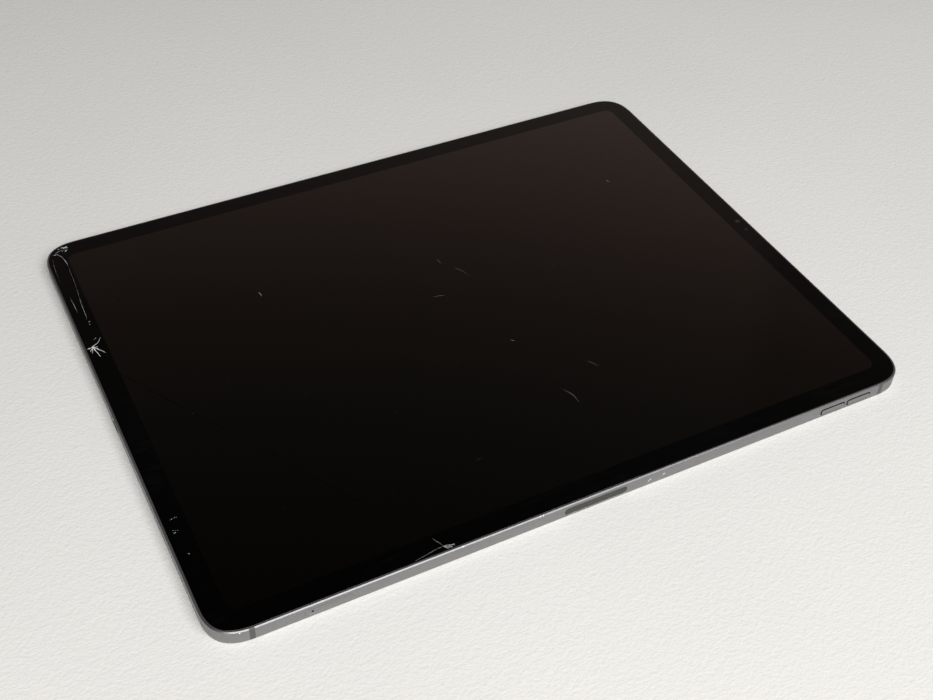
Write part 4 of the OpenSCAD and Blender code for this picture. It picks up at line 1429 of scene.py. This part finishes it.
@dataclass
class Studio:
    """Table, soft light and camera."""

    outline: Outline
    table_radius: float = 4000.0
    well_radius: float = 8.6
    camera_place: tuple[float, float, float] = (-185.492, -348.284, 356.616)
    camera_right: tuple[float, float, float] = (0.890003, -0.455067, 0.028438)
    camera_up: tuple[float, float, float] = (0.293949, 0.620336, 0.727171)
    lens: float = 50.806
    sensor: float = 36.0
    room_stops: tuple[tuple[float, float], ...] = (
        (0.0, 0.34), (0.30, 0.29), (0.50, 0.175), (0.57, 0.115), (0.61, 0.080), (0.65, 0.050), (0.70, 0.031),
        (0.80, 0.0110), (1.0, 0.006))
    near_room: Colour = (0.30, 0.30, 0.30)
    wedge: Colour = (-0.737, 0.675, 0.054)
    wall: Colour = (0.66, 0.655, 0.64)
    low_tint: Colour = (1.18, 0.95, 0.84)
    high_tint: Colour = (0.96, 1.12, 0.96)
    tint_height: float = 0.69

    def table(self) -> None:
        """Lay the table at the back face, with a shallow well under the camera ring."""
        middle, back = node_middle("camera_ring"), self.outline.back
        top = [(self.table_radius, back), (1500.0, back), (600.0, back), (200.0, back),
               (self.well_radius, back), (self.well_radius, -0.3), (0.05, -0.3)]
        under = [(0.05, -20.0), (self.table_radius, -20.0)]
        piece = mesh_of("table_top", lathe(under + top, 96).moved((middle[0], middle[1], 0)))
        piece.data.materials.append(TableTop().build())

    def light(self, name: str, place: Sequence[float], aim: Sequence[float], size: tuple[float, float],
              watts: float, colour: Colour) -> None:
        """Hang one soft area light.

        Args:
            name: Name of the light.
            place: Its place, in metres.
            aim: Point that it faces, in metres.
            size: Its width and height, in metres.
            watts: Its power.
            colour: Its colour.
        """
        lamp = bpy.data.lights.new(name, "AREA")
        lamp.shape, lamp.size, lamp.size_y = "RECTANGLE", *size
        lamp.energy, lamp.color = watts, colour
        hung = bpy.data.objects.new(name, lamp)
        bpy.context.scene.collection.objects.link(hung)
        hung.location = place
        hung.rotation_euler = (Vector(aim) - Vector(place)).to_track_quat("-Z", "Y").to_euler()
        hung.visible_camera = False

    def room(self) -> None:
        """Surround the table with a room that is pale behind the camera and dark past the tablet.

        Past the tablet it fades with height, so that the far end of the glass mirrors the most.
        The camera itself sees an even pale wall.
        """
        world = bpy.data.worlds.new("room")
        bpy.context.scene.world = world
        graph = NodeTree(world)
        place = graph.add("ShaderNodeTexCoord").outputs["Generated"]
        x, y, z = graph.add("ShaderNodeSeparateXYZ", {0: place}).outputs
        ramp = graph.add("ShaderNodeValToRGB", {0: z})
        while len(ramp.color_ramp.elements) < len(self.room_stops):
            ramp.color_ramp.elements.new(0.5)
        for stop, (at, grey) in zip(ramp.color_ramp.elements, self.room_stops):
            tint = self.low_tint if at < self.tint_height else self.high_tint
            stop.position, stop.color = at, (*(grey * c for c in tint), 1)
        wedge = graph.vector("DOT_PRODUCT", place, self.wedge, 1)
        level = graph.sum("MULTIPLY", graph.remap(x, -0.1, 0.6, 0.72, 1.3),
                          graph.remap(wedge, -0.012, 0.012, 0.72, 1.0))
        level = graph.sum("MULTIPLY", level, graph.remap(x, -0.75, -0.25, 0.5, 1.0))
        far = graph.add("ShaderNodeVectorMath", {0: ramp.outputs[0], "Scale": level},
                        operation="SCALE").outputs[0]
        near = graph.blend(graph.remap(y, 0.05, -0.4), far, self.near_room)
        seen = graph.add("ShaderNodeLightPath").outputs["Is Camera Ray"]
        graph.fill(graph.tree.nodes["Background"], {"Color": graph.blend(seen, near, self.wall)})

    def camera(self) -> None:
        """Place the camera from its own right and up directions."""
        right, up = Vector(self.camera_right), Vector(self.camera_up)
        lens = bpy.data.cameras.new("camera")
        lens.lens, lens.sensor_width, lens.sensor_fit = self.lens, self.sensor, "HORIZONTAL"
        lens.clip_start, lens.clip_end = 0.01, 50
        lens.dof.use_dof = False
        eye = bpy.data.objects.new("camera", lens)
        bpy.context.scene.collection.objects.link(eye)
        turn = Matrix((right, up, right.cross(up))).transposed().to_4x4()
        eye.matrix_world = Matrix.Translation(Vector(self.camera_place) * MM) @ turn
        bpy.context.scene.camera = eye

    def build(self) -> None:
        """Set up the table, the lights, the room and the camera."""
        self.table()
        self.light("key", (-0.08, -0.8, 1.0), (0, 0, 0), (1.4, 0.9), 24.0, (1.0, 0.997, 0.985))
        self.room()
        self.camera()
        scene = bpy.context.scene
        scene.view_settings.view_transform = "Standard"
        scene.view_settings.look = "None"


def main() -> None:
    """Build the tablet and its studio."""
    logging.basicConfig(level=logging.INFO, format="%(name)s: %(message)s")
    finishes = Finishes()
    finishes.dress_nodes()
    outline = Outline()
    Studio(outline).build()
    Enclosure(outline, finishes).build()
    display = DisplayGlass(outline, finishes)
    display.build()
    GlassDamage(finishes, display.top).build()
    EdgeWear(outline, finishes).build()
    SideControls(outline, finishes).build()
    RearFittings(outline, finishes).build()


if __name__ == "__main__":
    main()
